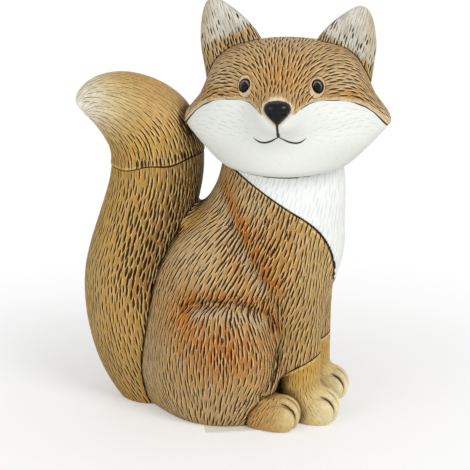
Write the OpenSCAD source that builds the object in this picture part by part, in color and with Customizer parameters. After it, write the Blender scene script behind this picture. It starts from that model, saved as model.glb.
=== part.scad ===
/* [Body] */
// Height of the neck, up to its end inside the head
body_h = 92; // [74:1:112]
// Length of the body from the back to the chest
body_l = 64; // [52:1:78]
// Width of the body, without the bulge of the thighs
body_w = 53; // [44:1:64]
// Turn of the body away from a pure side view, in degrees
body_turn = 11; // [0:1:30]
// Radius of the hollow inside the body
hollow_r = 15; // [8:0.5:19]
// Height of the hollow above the floor
hollow_h = 52; // [30:1:60]

/* [Thighs and legs] */
// Length of the thigh bulge
thigh_l = 38; // [30:1:44]
// Height of the thigh bulge
thigh_h = 40; // [32:1:46]
// How far each thigh stands out from the middle of the body
thigh_reach = 28.5; // [26:0.5:33]
// Distance between the middles of the front legs
leg_gap = 22; // [18:0.5:27]
// Thickness of a front leg
leg_d = 13.5; // [11:0.5:16]
// Height of the stocking line at the back of a front leg
stocking_z = 16; // [13:0.5:20]
// Slope of the stocking line, in degrees
stocking_tilt = 30; // [10:1:40]
// Width of a paw
paw_w = 17; // [13:0.5:20]
// Height of a paw over its toes
paw_h = 12; // [9:0.5:14]
// Length of a front paw
front_paw_l = 20; // [16:0.5:24]
// Length of a hind paw
hind_paw_l = 23; // [19:0.5:27]
// Distance between the middles of the hind paws
hind_gap = 41; // [36:0.5:48]

/* [Head] */
// Width of the head from cheek tip to cheek tip
head_w = 68; // [57:1:82]
// Height of the head without the ears
head_h = 43; // [36:1:52]
// Depth of the head without the muzzle
head_d = 43; // [36:1:52]
// Turn of the head to the left of the view, in degrees
head_turn = 8; // [0:1:20]
// Tilt of the head, in degrees
head_tilt = 1; // [0:0.5:6]
// How far the muzzle stands out from the face
muzzle_out = 9; // [6:0.5:14]
// Diameter of an eye bead
eye_d = 5; // [3.5:0.25:6.5]
// Distance between the eyes
eye_gap = 23.5; // [20:0.5:28]
// Width of the nose
nose_w = 8.6; // [6:0.2:11]

/* [Ears] */
// Width of an ear at its root
ear_w = 22; // [18:0.5:26]
// Height of the right ear above its root
right_ear_h = 28; // [23:0.5:34]
// Height of the left ear above its root
left_ear_h = 25.5; // [21:0.5:32]
// Thickness of an ear at its root
ear_t = 11; // [8:0.5:13]
// Depth of the hollow in the front of an ear
ear_dish = 1.6; // [0.6:0.1:2.2]

/* [Tail] */
// Thickness of the tail
tail_d = 31; // [25:0.5:37]
// Height of the top of the tail spine
tail_h = 105; // [90:1:126]
// How far the tip of the tail stands out behind its root
tail_reach = 27.7; // [22:0.1:34]
// Height of the ring line between the two castings
ring_z = 85; // [76:0.5:92]
// Slope of the ring line, in degrees
ring_tilt = 9; // [0:1:16]

/* [Joints] */
// Diameter of the dowel between head and body
dowel_d = 8; // [5:0.5:10]
// Length of the dowel between head and body
dowel_l = 38; // [30:1:42]
// Diameter of the pins in the tail
pin_d = 5; // [3:0.5:7]
// Length of a tail pin
pin_l = 20; // [14:1:24]
// Gap round a dowel or pin, for the glue
glue_gap = 0.15; // [0.05:0.05:0.3]

/* [Base] */
// Diameter of the opening under the body
opening_d = 22; // [14:1:26]
// Thickness of the plug in the opening
plug_t = 4; // [2.5:0.5:6]
// How far the plug sits inside the opening
plug_inset = 0.6; // [0.4:0.1:1.2]
// Gap round the plug
plug_gap = 0.1; // [0.05:0.05:0.3]
// Length of the paper label under the body
label_l = 28; // [20:1:34]
// Width of the paper label
label_w = 14; // [10:0.5:16]
// Thickness of the paper label
label_t = 0.15; // [0.1:0.05:0.3]

/* [Hidden] */

// The side of the animal: its right side is the near one
RIGHT = -1;
LEFT = 1;

// Sides of the lofted forms
body_sides = 28;
head_sides = 32;
tail_sides = 24;
small_sides = 16;
hull_fn = 20;

// Paints
fur_brown = "#a97a3c";
tail_gold = "#b98a42";
cream = "#d9c79a";
chalk_white = "#eceef0";
ear_grey = "#c9c4b4";
gloss_black = "#141414";
dowel_wood = "#c8a878";
pin_steel = "#9a9a9a";
plug_grey = "#55504a";
label_paper = "#f4f4f2";

// Place of the body on the floor, and its middle level line
body_pos = [-0.5, 3.3, 0];
body_half_l = body_l / 2;
body_half_w = body_w / 2;

// Levels of the torso: height, middle, half length and half width, as shares
// of the body's height, half length, half length and half width
torso_levels = [
    [0.000, -0.180, 0.67, 0.74],
    [0.030, -0.175, 0.76, 0.835],
    [0.110, -0.160, 0.85, 0.925],
    [0.185, -0.150, 0.895, 0.965],
    [0.290, -0.090, 0.925, 0.985],
    [0.410, 0.030, 0.98, 0.98],
    [0.520, 0.135, 0.985, 0.945],
    [0.620, 0.250, 0.95, 0.85],
    [0.705, 0.355, 0.845, 0.755],
    [0.770, 0.460, 0.745, 0.69],
    [0.870, 0.535, 0.665, 0.63],
    [1.000, 0.550, 0.60, 0.59],
    [1.090, 0.550, 0.54, 0.54],
];

// Middle of the neck along the body, and its place over the floor
neck_x = 0.57 * body_half_l;
// How far the neck dowel stands out of the neck, into the head
dowel_out = 9;
neck_pos = [
    body_pos[0] + neck_x * cos(body_turn),
    body_pos[1] - neck_x * sin(body_turn),
];
// Line of the back, at the root of the tail
back_x = body_pos[0] - body_half_l;

// Edge of the white bib in the side view: a round and a straight rise to the nape.
// It hangs from the top of the neck, so it stays under the head
bib_mid = [0.4375 * body_half_l, body_h - 1.219 * body_half_l];
bib_r = 0.6875 * body_half_l;
bib_rise = 32;

// Thighs
thigh_x = 0.5;
thigh_t = 20;
thigh_z = 0.475 * thigh_h;

// Front legs: height, middle, and thickness as a share, up into the chest
leg_x = body_half_l - 6.2;
leg_levels = [
    [1.5, 0.5, 0.95],
    [0.17 * body_h, -0.2, 1.0],
    [0.28 * body_h, -0.8, 1.1],
    [0.41 * body_h, -2, 1.25],
    [0.53 * body_h, -4.5, 1.3],
    [0.65 * body_h, -7.5, 1.1],
];
toe_r = paw_w / 3.3;
front_paw_x = leg_x + 4.2;
hind_paw_x = 0.56 * body_half_l;

// The head's own frame stands on the neck
head_base = [neck_pos[0] + 1.1, neck_pos[1] + 1.5, body_h - 7.8];
head_half_w = head_w / 2;

// Levels of the head: height, middle depth, half width, half depth and
// roundness, as shares of the head's height, depth, half width and depth
head_levels = [
    [0.000, -0.31, 0.13, 0.12, 2.0],
    [0.030, -0.29, 0.38, 0.22, 2.0],
    [0.080, -0.25, 0.60, 0.31, 2.1],
    [0.190, -0.17, 0.78, 0.41, 2.1],
    [0.300, -0.13, 0.92, 0.46, 1.9],
    [0.380, -0.11, 1.00, 0.475, 1.7],
    [0.460, -0.09, 0.97, 0.49, 1.8],
    [0.580, -0.06, 0.845, 0.49, 2.1],
    [0.730, -0.04, 0.76, 0.455, 2.3],
    [0.860, -0.03, 0.66, 0.37, 2.3],
    [0.950, -0.03, 0.46, 0.24, 2.2],
    [1.000, -0.03, 0.16, 0.08, 2.0],
];

// Muzzle: depth, height, half width and half height of each section
face_y = -0.53 * head_d;
muzzle_z = 0.545 * head_h;
muzzle_sections = [
    [face_y + 12, muzzle_z - 3.4, 14.5, 12.5],
    [face_y + 3, muzzle_z - 2, 12, 10.6],
    [face_y - 0.45 * muzzle_out, muzzle_z - 0.6, 8.6, 7.6],
    [face_y - 0.85 * muzzle_out, muzzle_z, 6.2, 5.6],
    [face_y - muzzle_out, muzzle_z + 0.2, 3, 2.8],
];
nose_y = face_y - muzzle_out + 0.6;
nose_z = muzzle_z + 1;
eye_z = 0.705 * head_h;
eye_y = face_y + 0.1 * head_d;

// Ears: height above the root, lean outwards, half width and half thickness,
// as shares of the ear's height, height, width and thickness
ear_x = 0.475 * head_half_w;
ear_y = 2;
ear_z = 0.64 * head_h;
ear_levels = [
    [0.00, 0.00, 0.50, 0.50],
    [0.22, 0.03, 0.50, 0.46],
    [0.45, 0.08, 0.48, 0.39],
    [0.65, 0.14, 0.40, 0.31],
    [0.82, 0.21, 0.28, 0.23],
    [0.94, 0.27, 0.15, 0.15],
    [1.00, 0.29, 0.05, 0.06],
];
// Size of the dish in the front of an ear, as a share of the ear
dish_share = 0.8;

// The tail stands in the back of the body, and clear of the cheek tip
root_depth = 9.6;
cheek_clearance = 7.3;
cheek_tip_x = head_base[0] - head_half_w;
root_x = min(back_x + root_depth, cheek_tip_x - cheek_clearance);
tail_y = 10.3;
// Spine of the tail: reach behind the root, height and thickness, as shares
// of the tail's reach, height and thickness
tail_stations = [
    [0.00, -0.02, 0.66],
    [0.14, 0.060, 0.88],
    [0.30, 0.160, 1.00],
    [0.40, 0.285, 1.06],
    [0.41, 0.420, 1.07],
    [0.28, 0.555, 1.05],
    [0.15, 0.690, 1.00],
    [0.09, 0.800, 1.01],
    [0.17, 0.900, 0.98],
    [0.47, 0.972, 0.76],
    [0.75, 0.997, 0.50],
    [0.95, 0.995, 0.22],
    [1.00, 0.985, 0.06],
];

// The ring line turns about the middle of the tail at its height
ring_x = root_x - 0.1 * tail_reach;
root_pin_z = 0.33 * tail_h;

// Middle of the opening under the body
base_x = -0.12 * body_half_l;

// Place of the label under the near side of the body
label_pos = [body_pos[0] + 4.6, body_pos[1] - 0.83 * body_half_w];
label_turn = 7;
label_lift = 0.04;
// Room round the label in its shallow recess, and over it
label_room = 0.3;
label_headroom = 0.05;

// Far enough to cut right through
far = 200;

// A closed spline through the listed values, two steps to each stretch
function mid_row(a, b, c, d) = (-a + 9 * b + 9 * c - d) / 16;
function row_at(t, i) = t[max(0, min(len(t) - 1, i))];
function refine(t) = [
    for (i = [0:len(t) - 1])
        for (half = [0:(i < len(t) - 1 ? 1 : 0)])
            half == 0 ? t[i] : mid_row(row_at(t, i - 1), t[i], t[i + 1], row_at(t, i + 2))
];

function ear_h(side) = side == RIGHT ? right_ear_h : left_ear_h;

// A point on a rounded outline: p is 2 for an ellipse, less for a pointed one
function signed_power(v, e) = sign(v) * pow(abs(v), e);
function outline_point(angle, rx, ry, p) = [
    rx * signed_power(cos(angle), 2 / p),
    ry * signed_power(sin(angle), 2 / p),
];

// Skin over rings that run upwards, each with the same number of points
module skin(rings) {
    sides = len(rings[0]);
    rows = len(rings);
    points = [for (ring = rings) each ring];
    bottom = [for (k = [0:sides - 1]) k];
    top = [for (k = [0:sides - 1]) rows * sides - 1 - k];
    walls = [
        for (r = [0:rows - 2])
            for (k = [0:sides - 1])
                let (
                    a = r * sides + k,
                    b = r * sides + (k + 1) % sides,
                    c = a + sides,
                    d = b + sides
                )
                    each [[a, c, d], [a, d, b]]
    ];
    polyhedron(points = points, faces = concat([bottom], [top], walls), convexity = 6);
}

// Rings of level outlines: each row is height, middle x, middle y, half
// length, half width and roundness
function level_rings(rows, sides) = [
    for (row = rows) [
        for (k = [0:sides - 1])
            let (p = outline_point(360 * k / sides, row[3], row[4], row[5]))
                [row[1] + p[0], row[2] + p[1], row[0]]
    ]
];

// An egg of the given half sizes, without its poles
module egg(rx, ry, rz) {
    bands = 8;
    rows = [
        for (b = [0:bands])
            let (angle = -84 + 168 * b / bands)
                [rz * sin(angle), 0, 0, rx * cos(angle), ry * cos(angle), 2]
    ];
    skin(level_rings(rows, small_sides));
}

// The space below the floor
module below_floor() {
    translate([-far / 2, -far / 2, -far]) cube([far, far, far]);
}

module body_frame() {
    translate(body_pos) rotate([0, 0, -body_turn]) children();
}

module head_frame() {
    translate(head_base) rotate([0, -head_tilt, -head_turn]) children();
}

module torso_form() {
    rows = refine([
        for (t = torso_levels)
            [t[0] * body_h, t[1] * body_half_l, 0, t[2] * body_half_l, t[3] * body_half_w, 2.1]
    ]);
    skin(level_rings(rows, body_sides));
}

module thigh_form(side) {
    translate([thigh_x, side * (thigh_reach - thigh_t / 2), thigh_z])
        egg(thigh_l / 2, thigh_t / 2, thigh_h / 2);
}

module leg_form(side) {
    rows = [
        for (t = leg_levels)
            [t[0], leg_x + t[1], side * leg_gap / 2, t[2] * leg_d / 2, t[2] * leg_d / 2.15, 2.2]
    ];
    skin(level_rings(rows, small_sides));
}

// A paw of the given length, its toes towards +x
module paw_form(length) {
    toe_z = paw_h - toe_r;
    difference() {
        hull() {
            translate([length / 2 - toe_r, 0, toe_z]) sphere(toe_r, $fn = hull_fn);
            for (toe = [-1, 1])
                translate([length / 2 - toe_r * 1.35, toe * (paw_w / 2 - toe_r), toe_r * 0.9])
                    sphere(toe_r, $fn = hull_fn);
            translate([-length / 2 + toe_r, 0, toe_z]) sphere(toe_r * 1.05, $fn = hull_fn);
        }
        below_floor();
    }
}

module front_paw_form(side) {
    translate([front_paw_x, side * leg_gap / 2, 0]) paw_form(front_paw_l);
}

module hind_paw_form(side) {
    translate([hind_paw_x, side * hind_gap / 2, 0]) paw_form(hind_paw_l);
}

// Everything of a front leg that lies below the stocking line
module under_stocking() {
    translate([leg_x - leg_d / 2, 0, stocking_z])
        rotate([0, -stocking_tilt, 0])
            translate([-far / 2, -far / 2, -far]) cube([far, far, far]);
}

module head_form() {
    rows = refine([
        for (t = head_levels)
            [t[0] * head_h, 0, t[1] * head_d, t[2] * head_half_w, t[3] * head_d, t[4]]
    ]);
    skin(level_rings(rows, head_sides));
}

module muzzle_form() {
    rows = [for (t = muzzle_sections) [-t[0], 0, t[1], t[2], t[3], 2.1]];
    // The sections are stacked along the depth, with the tip last
    rotate([90, 0, 0]) skin(level_rings(rows, small_sides));
}

module nose_form() {
    translate([0, nose_y, nose_z])
        hull() {
            for (s = [-1, 1])
                translate([s * nose_w * 0.27, 0, nose_w * 0.14])
                    sphere(nose_w * 0.24, $fn = hull_fn);
            translate([0, 0.2, -nose_w * 0.24]) sphere(nose_w * 0.16, $fn = hull_fn);
            translate([0, 2.6, 0]) sphere(nose_w * 0.28, $fn = hull_fn);
        }
}

// An ear with its root in the head
module ear_form(side) {
    rows = [
        for (t = ear_levels)
            [t[0] * ear_h(side), side * t[1] * ear_h(side), 0, t[2] * ear_w, t[3] * ear_t, 2.3]
    ];
    translate([side * ear_x, ear_y, ear_z]) skin(level_rings(rows, small_sides));
}

// The dished front of an ear, as a smaller form set forward
module ear_dish_form(side) {
    h = ear_h(side) * dish_share;
    rows = [
        for (t = ear_levels)
            [
                t[0] * h * 0.92,
                side * t[1] * h,
                t[0] * ear_t * 0.42,
                t[2] * ear_w * dish_share,
                (1 + t[3]) * ear_dish,
                2,
            ]
    ];
    translate([side * ear_x, ear_y - ear_t * 0.5 + ear_dish * 0.2, ear_z + (1 - dish_share) * ear_h(side)])
        skin(level_rings(rows, small_sides));
}

// Rings square to a spine that lies in one upright plane
function spine_rings(rows, sides) = [
    for (i = [0:len(rows) - 1])
        let (
            ahead = rows[min(i + 1, len(rows) - 1)],
            behind = rows[max(i - 1, 0)],
            dx = ahead[0] - behind[0],
            dz = ahead[1] - behind[1],
            run = norm([dx, dz]),
            r = rows[i][2]
        ) [
            for (k = [0:sides - 1])
                let (angle = 360 * k / sides)
                    [
                        rows[i][0] + r * cos(angle) * dz / run,
                        r * sin(angle),
                        rows[i][1] - r * cos(angle) * dx / run,
                    ]
        ]
];

module tail_form() {
    rows = refine([
        for (t = tail_stations)
            [root_x - t[0] * tail_reach, t[1] * tail_h, t[2] * tail_d / 2]
    ]);
    translate([0, tail_y, 0])
        difference() {
            skin(spine_rings(rows, tail_sides));
            below_floor();
        }
}

// Turns about the ring line, with +z along the tail
module ring_frame() {
    translate([ring_x, tail_y, ring_z]) rotate([0, -ring_tilt, 0]) children();
}

module above_ring() {
    ring_frame() translate([-far / 2, -far / 2, 0]) cube([far, far, far]);
}

module below_ring() {
    ring_frame() translate([-far / 2, -far / 2, -far]) cube([far, far, far]);
}

// The brown part of the side view, whose edge the bib follows
module coat_outline() {
    translate(bib_mid) {
        circle(bib_r);
        rotate(-bib_rise) translate([-far, bib_r - far]) square([far, far]);
    }
}

module in_front_of_coat() {
    rotate([90, 0, 0])
        translate([0, 0, -far / 2])
            linear_extrude(far)
                difference() {
                    translate([-far / 2, bib_mid[1] - bib_r / 2]) square([far, far]);
                    coat_outline();
                }
}

module dowel_hole(d, l, gap) {
    cylinder(h = l + 2 * gap, r = d / 2 + gap, center = true, $fn = 48);
}

module neck_dowel_place() {
    body_frame() translate([neck_x, 0, body_h - dowel_l / 2 + dowel_out]) children();
}

module ring_pin_place() {
    ring_frame() children();
}

// Level along the body, through the wall behind the hollow and into the tail
module root_pin_place() {
    translate([back_x - 2, tail_y, root_pin_z]) rotate([0, 90, 0]) children();
}

module hollow() {
    wall_z = plug_inset + plug_t + 3;
    translate([base_x, 0, 0])
        rotate_extrude($fn = 72)
            polygon([
                [0, -1],
                [opening_d / 2, -1],
                [opening_d / 2, wall_z],
                [hollow_r, wall_z + 6],
                [hollow_r, 0.62 * hollow_h],
                [hollow_r * 0.72, 0.86 * hollow_h],
                [0, hollow_h],
            ]);
}

module label_sheet(grow, z0, z1) {
    translate([label_pos[0], label_pos[1], z0])
        rotate([0, 0, label_turn])
            translate([-label_l / 2 - grow, -label_w / 2 - grow, 0])
                cube([label_l + 2 * grow, label_w + 2 * grow, z1 - z0]);
}

// The brown casting: torso, thighs and upper front legs, hollow inside
module body_casting() {
    color(fur_brown)
        difference() {
            body_frame()
                difference() {
                    union() {
                        torso_form();
                        for (side = [RIGHT, LEFT]) {
                            thigh_form(side);
                            difference() {
                                leg_form(side);
                                under_stocking();
                            }
                        }
                    }
                    in_front_of_coat();
                    for (side = [RIGHT, LEFT]) hind_paw_form(side);
                    hollow();
                    below_floor();
                }
            head_frame() head_form();
            neck_dowel_place() dowel_hole(dowel_d, dowel_l, glue_gap);
            root_pin_place() dowel_hole(pin_d, pin_l, glue_gap);
            label_sheet(label_room, -1, label_lift + label_t + label_headroom);
        }
}

module chest_bib() {
    color(chalk_white)
        difference() {
            body_frame()
                intersection() {
                    torso_form();
                    in_front_of_coat();
                }
            head_frame() head_form();
            neck_dowel_place() dowel_hole(dowel_d, dowel_l, glue_gap);
        }
}

module head_casting() {
    color(fur_brown)
        difference() {
            head_frame()
                difference() {
                    union() {
                        head_form();
                        muzzle_form();
                    }
                    for (side = [RIGHT, LEFT]) {
                        ear_form(side);
                        eye_place(side) sphere(eye_d / 2 + glue_gap, $fn = 48);
                    }
                    nose_form();
                }
            neck_dowel_place() dowel_hole(dowel_d, dowel_l, glue_gap);
        }
}

module eye_place(side) {
    translate([side * eye_gap / 2, eye_y, eye_z]) children();
}

module ear(side) {
    color(ear_grey)
        head_frame()
            difference() {
                ear_form(side);
                ear_dish_form(side);
            }
}

module eye(side) {
    color(gloss_black) head_frame() eye_place(side) sphere(eye_d / 2, $fn = 48);
}

module nose() {
    color(gloss_black) head_frame() nose_form();
}

module tail_lower() {
    color(tail_gold)
        difference() {
            intersection() {
                tail_form();
                below_ring();
            }
            body_frame() {
                torso_form();
                for (side = [RIGHT, LEFT]) thigh_form(side);
            }
            ring_pin_place() dowel_hole(pin_d, pin_l, glue_gap);
            root_pin_place() dowel_hole(pin_d, pin_l, glue_gap);
        }
}

module tail_tip() {
    color(cream)
        difference() {
            intersection() {
                tail_form();
                above_ring();
            }
            ring_pin_place() dowel_hole(pin_d, pin_l, glue_gap);
        }
}

// The lower front leg with its paw, under the stocking line
module front_paw(side) {
    color(cream)
        body_frame()
            difference() {
                intersection() {
                    union() {
                        leg_form(side);
                        front_paw_form(side);
                    }
                    under_stocking();
                }
                torso_form();
                hind_paw_form(side);
                below_floor();
            }
}

module hind_paw(side) {
    color(cream)
        difference() {
            body_frame() hind_paw_form(side);
            label_sheet(label_room, -1, label_lift + label_t + label_headroom);
        }
}

module neck_dowel() {
    color(dowel_wood) neck_dowel_place() cylinder(h = dowel_l, r = dowel_d / 2, center = true, $fn = 48);
}

module tail_ring_pin() {
    color(pin_steel) ring_pin_place() cylinder(h = pin_l, r = pin_d / 2, center = true, $fn = 48);
}

module tail_root_pin() {
    color(pin_steel) root_pin_place() cylinder(h = pin_l, r = pin_d / 2, center = true, $fn = 48);
}

module base_plug() {
    color(plug_grey)
        body_frame()
            translate([base_x, 0, plug_inset])
                cylinder(h = plug_t, r = opening_d / 2 - plug_gap, $fn = 72);
}

module paper_label() {
    color(label_paper) label_sheet(0, label_lift, label_lift + label_t);
}

body_casting();
chest_bib();
head_casting();
ear(RIGHT);  // right_ear
ear(LEFT);  // left_ear
eye(RIGHT);  // right_eye
eye(LEFT);  // left_eye
nose();
tail_lower();
tail_tip();
front_paw(RIGHT);  // right_front_paw
front_paw(LEFT);  // left_front_paw
hind_paw(RIGHT);  // right_hind_paw
hind_paw(LEFT);  // left_hind_paw
neck_dowel();
tail_ring_pin();
tail_root_pin();
base_plug();
paper_label();
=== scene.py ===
"""Looks of a seated fox figurine of hand-painted cast resin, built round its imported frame.

Each form is sculpted as a field of signed distance, in millimetres, in the frame of its own
sub-assembly. The field is meshed, cut with strokes of fur, painted and set in its place.
"""

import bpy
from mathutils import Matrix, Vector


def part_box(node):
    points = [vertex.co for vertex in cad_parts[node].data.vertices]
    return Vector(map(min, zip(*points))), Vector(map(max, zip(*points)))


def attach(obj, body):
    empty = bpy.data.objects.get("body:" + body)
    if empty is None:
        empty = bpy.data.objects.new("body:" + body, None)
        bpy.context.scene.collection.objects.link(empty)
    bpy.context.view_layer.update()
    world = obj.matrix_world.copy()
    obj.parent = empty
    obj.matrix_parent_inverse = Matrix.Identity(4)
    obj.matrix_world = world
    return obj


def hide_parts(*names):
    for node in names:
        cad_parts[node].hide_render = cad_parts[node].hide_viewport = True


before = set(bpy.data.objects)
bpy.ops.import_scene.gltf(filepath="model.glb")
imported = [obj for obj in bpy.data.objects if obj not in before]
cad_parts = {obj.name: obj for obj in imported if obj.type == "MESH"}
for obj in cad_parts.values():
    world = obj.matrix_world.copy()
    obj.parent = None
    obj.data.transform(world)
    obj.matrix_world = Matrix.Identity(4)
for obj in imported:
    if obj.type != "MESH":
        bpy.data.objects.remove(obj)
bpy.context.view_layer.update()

import logging
from dataclasses import dataclass, field, replace
from enum import Enum
from typing import Callable

import bpy
import numpy as np
import openvdb
from mathutils.kdtree import KDTree

Array = np.ndarray
Row = tuple[float, ...]
Form = Callable[[Array, Array, Array], Array]
Material = bpy.types.Material
Tree = bpy.types.NodeTree
Socket = bpy.types.NodeSocket

logging.basicConfig(level=logging.INFO, format="%(message)s")
log = logging.getLogger("fox_figurine")

MM = 0.001
# A quick try uses voxels this much larger
COARSE = 1.0
# Value of a channel where no line is near
FAR = 60.0
# Strokes that lie close together take different channels, so that their distances never mix
FUR = ("fur_0", "fur_1", "fur_2", "fur_3")
DOWN = ("down_0", "down_1", "down_2")
# Share of a direction that must lie in the surface for fur to be cut along it
LEAST_LIE = 0.35
# Two strokes of one channel closer than this many millimetres would show a false line between them
CLEAR = 1.2


class Side(Enum):
    """The animal's own right and left; the right side is the near one."""

    RIGHT = -1
    LEFT = 1

    @property
    def word(self) -> str:
        """The side's name as the nodes use it."""
        return self.name.lower()


# Fields of signed distance


def refine(rows: Array, times: int = 3) -> Array:
    """Puts a smooth curve through rows of values.

    Args:
        rows: One row of values for each station.
        times: How many times the stretches are halved.

    Returns:
        The rows with the stations between them.
    """
    for _ in range(times):
        padded = np.vstack([rows[:1], rows, rows[-1:]])
        middle = (9 * (padded[1:-2] + padded[2:-1]) - padded[:-3] - padded[3:]) / 16
        joined = np.empty((2 * len(rows) - 1, rows.shape[1]))
        joined[0::2] = rows
        joined[1::2] = middle
        rows = joined
    return rows


def smooth_min(a: Array, b: Array, k: float | Array) -> Array:
    """Joins two fields with a fillet of size k."""
    h = np.clip(0.5 + 0.5 * (b - a) / k, 0, 1)
    return b + (a - b) * h - k * h * (1 - h)


def smooth_max(a: Array, b: Array, k: float | Array) -> Array:
    """Keeps what lies in both fields, with its edge rounded by k."""
    return -smooth_min(-a, -b, k)


def smooth_step(low: float, high: float, value: Array) -> Array:
    """Rises smoothly from 0 at low to 1 at high."""
    t = np.clip((value - low) / (high - low), 0, 1)
    return t * t * (3 - 2 * t)


def bell(*shares: Array) -> Array:
    """Gives 1 where every share is nought, and falls away smoothly all round."""
    return np.exp(-sum(share**2 for share in shares))


@dataclass(frozen=True)
class Loft:
    """Rounded outlines stacked along z, as rows of height, middle x and y, half x and y, roundness."""

    rows: tuple[Row, ...]
    cap: float = 1.5

    def __call__(self, x: Array, y: Array, z: Array) -> Array:
        """Gives the signed distance, which is near enough close to the surface.

        Args:
            x, y, z: Places in the form's own frame.

        Returns:
            The signed distance.
        """
        table = refine(np.array(self.rows, float))
        heights = table[:, 0]
        mx, my, rx, ry, p = (np.interp(z, heights, table[:, k]) for k in range(1, 6))
        dx, dy = np.abs(x - mx), np.abs(y - my)
        share = ((dx / rx) ** p + (dy / ry) ** p) ** (1 / p)
        wall = np.sqrt(dx * dx + dy * dy) * (1 - 1 / np.maximum(share, 0.02))
        ends = np.maximum(z - heights[-1], heights[0] - z)
        return smooth_max(wall, ends + 0 * wall, self.cap)


@dataclass(frozen=True)
class Egg:
    """An ellipsoid, leaning about the y axis by an angle in degrees."""

    middle: Row
    half: Row
    lean: float = 0.0

    def __call__(self, x: Array, y: Array, z: Array) -> Array:
        """Gives the signed distance, which is near enough close to the surface.

        Args:
            x, y, z: Places in the form's own frame.

        Returns:
            The signed distance.
        """
        u, v, w = x - self.middle[0], y - self.middle[1], z - self.middle[2]
        c, s = np.cos(np.radians(self.lean)), np.sin(np.radians(self.lean))
        u, w = c * u + s * w, c * w - s * u
        a, b, d = self.half
        near = np.sqrt((u / a) ** 2 + (v / b) ** 2 + (w / d) ** 2)
        steep = np.sqrt((u / a**2) ** 2 + (v / b**2) ** 2 + (w / d**2) ** 2)
        return near * (near - 1) / np.maximum(steep, 1e-4)


@dataclass(frozen=True)
class SpineTube:
    """A round tube whose spine lies in the plane y = 0, as rows of x, z and radius."""

    stations: tuple[Row, ...]

    def __call__(self, x: Array, y: Array, z: Array) -> Array:
        """Gives the signed distance to the tube's skin.

        Args:
            x, y, z: Places in the form's own frame.

        Returns:
            The signed distance.
        """
        # Stations under a millimetre apart leave no creases across a tube that tapers fast
        line = refine(np.array(self.stations, float), 4)
        shape = np.broadcast(x, z).shape
        gap = np.full(shape, 1e3)
        radius = np.zeros(shape)
        for (x0, z0, r0), (x1, z1, r1) in zip(line[:-1], line[1:]):
            dx, dz = x1 - x0, z1 - z0
            t = np.clip(((x - x0) * dx + (z - z0) * dz) / (dx * dx + dz * dz), 0, 1)
            away = np.hypot(x - x0 - t * dx, z - z0 - t * dz)
            r = r0 + t * (r1 - r0)
            closer = away - r < gap - radius
            gap = np.where(closer, away, gap)
            radius = np.where(closer, r, radius)
        return np.sqrt(gap**2 + y**2) - radius


def line_distance(u: Array, v: Array, line: list[Row]) -> Array:
    """Measures the distance to a line of points in a plane.

    Args:
        u: First coordinates of the places.
        v: Second coordinates of the places.
        line: The line's points.

    Returns:
        The distance of each place from the line.
    """
    best = np.full(np.broadcast(u, v).shape, 1e3)
    for (u0, v0), (u1, v1) in zip(line[:-1], line[1:]):
        du, dv = u1 - u0, v1 - v0
        t = np.clip(((u - u0) * du + (v - v0) * dv) / (du * du + dv * dv), 0, 1)
        best = np.minimum(best, np.hypot(u - u0 - t * du, v - v0 - t * dv))
    return best


def from_level(form: Form, level: float, x: Array, y: Array, z: Array) -> Array:
    """Works a slow form out only above a level, and gives a far distance below it.

    Args:
        form: The field to work out.
        level: The lowest height where it matters.
        x, y, z: Places on a sparse grid, or of points.

    Returns:
        The form's distance above the level, and a large one below it.
    """
    if z.ndim == 1:
        return np.where(z > level, form(x, y, z), 1e3)
    upper = z[0, 0] > level
    values = np.full(np.broadcast(x, y, z).shape, 1e3)
    if upper.any():
        values[:, :, upper] = form(x, y, z[:, :, upper])
    return values


# Frames of the sub-assemblies


@dataclass(frozen=True)
class Placement:
    """Where a sub-assembly's own frame stands in the row frame, in millimetres."""

    origin: Array
    turn: Array

    def out(self, points: Array) -> Array:
        """Takes points from this frame to the row frame."""
        return points @ self.turn.T + self.origin

    def into(self, points: Array) -> Array:
        """Takes points from the row frame to this frame."""
        return (points - self.origin) @ self.turn

    def seen_from(self, other: "Placement", form: Form) -> Form:
        """Gives this frame's form as a field in another frame.

        Args:
            other: The frame where the new field is used.
            form: A field in this frame.

        Returns:
            The same form as a field in the other frame.
        """
        turn = self.turn.T @ other.turn
        shift = (other.origin - self.origin) @ self.turn

        def moved(x: Array, y: Array, z: Array) -> Array:
            """Works the form out at places in the other frame."""
            u, v, w = (turn[k, 0] * x + turn[k, 1] * y + turn[k, 2] * z + shift[k] for k in range(3))
            return form(u, v, w)

        return moved


class Crowd:
    """All the forms of the figurine, each in its own frame."""

    def __init__(self) -> None:
        """Starts with no forms."""
        self.forms: list[tuple[Placement, Form]] = []

    def add(self, where: Placement, form: Form) -> None:
        """Adds a form in its frame."""
        self.forms.append((where, form))

    def distance(self, places: Array) -> Array:
        """Gives the distance to the nearest form.

        Args:
            places: Points in the row frame.

        Returns:
            The distance of each.
        """
        near = np.full(len(places), 1e3)
        for where, form in self.forms:
            near = np.minimum(near, form(*where.into(places).T))
        return near


def node_middle(node: str) -> Array:
    """Gives the middle of a CAD node's box, in millimetres."""
    low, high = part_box(node)
    return (np.array(low) + np.array(high)) / (2 * MM)


def turned_frame(across: Array) -> Array:
    """Builds a frame whose y axis, or x axis for the head, follows a level direction.

    Args:
        across: The direction, in the row frame.

    Returns:
        The three axes as columns: across, level and square to it, and up.
    """
    side = across / np.linalg.norm(across)
    back = np.cross([0, 0, 1], side)
    back /= np.linalg.norm(back)
    return np.column_stack([side, back, np.cross(side, back)])


# Sculpting


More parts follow.
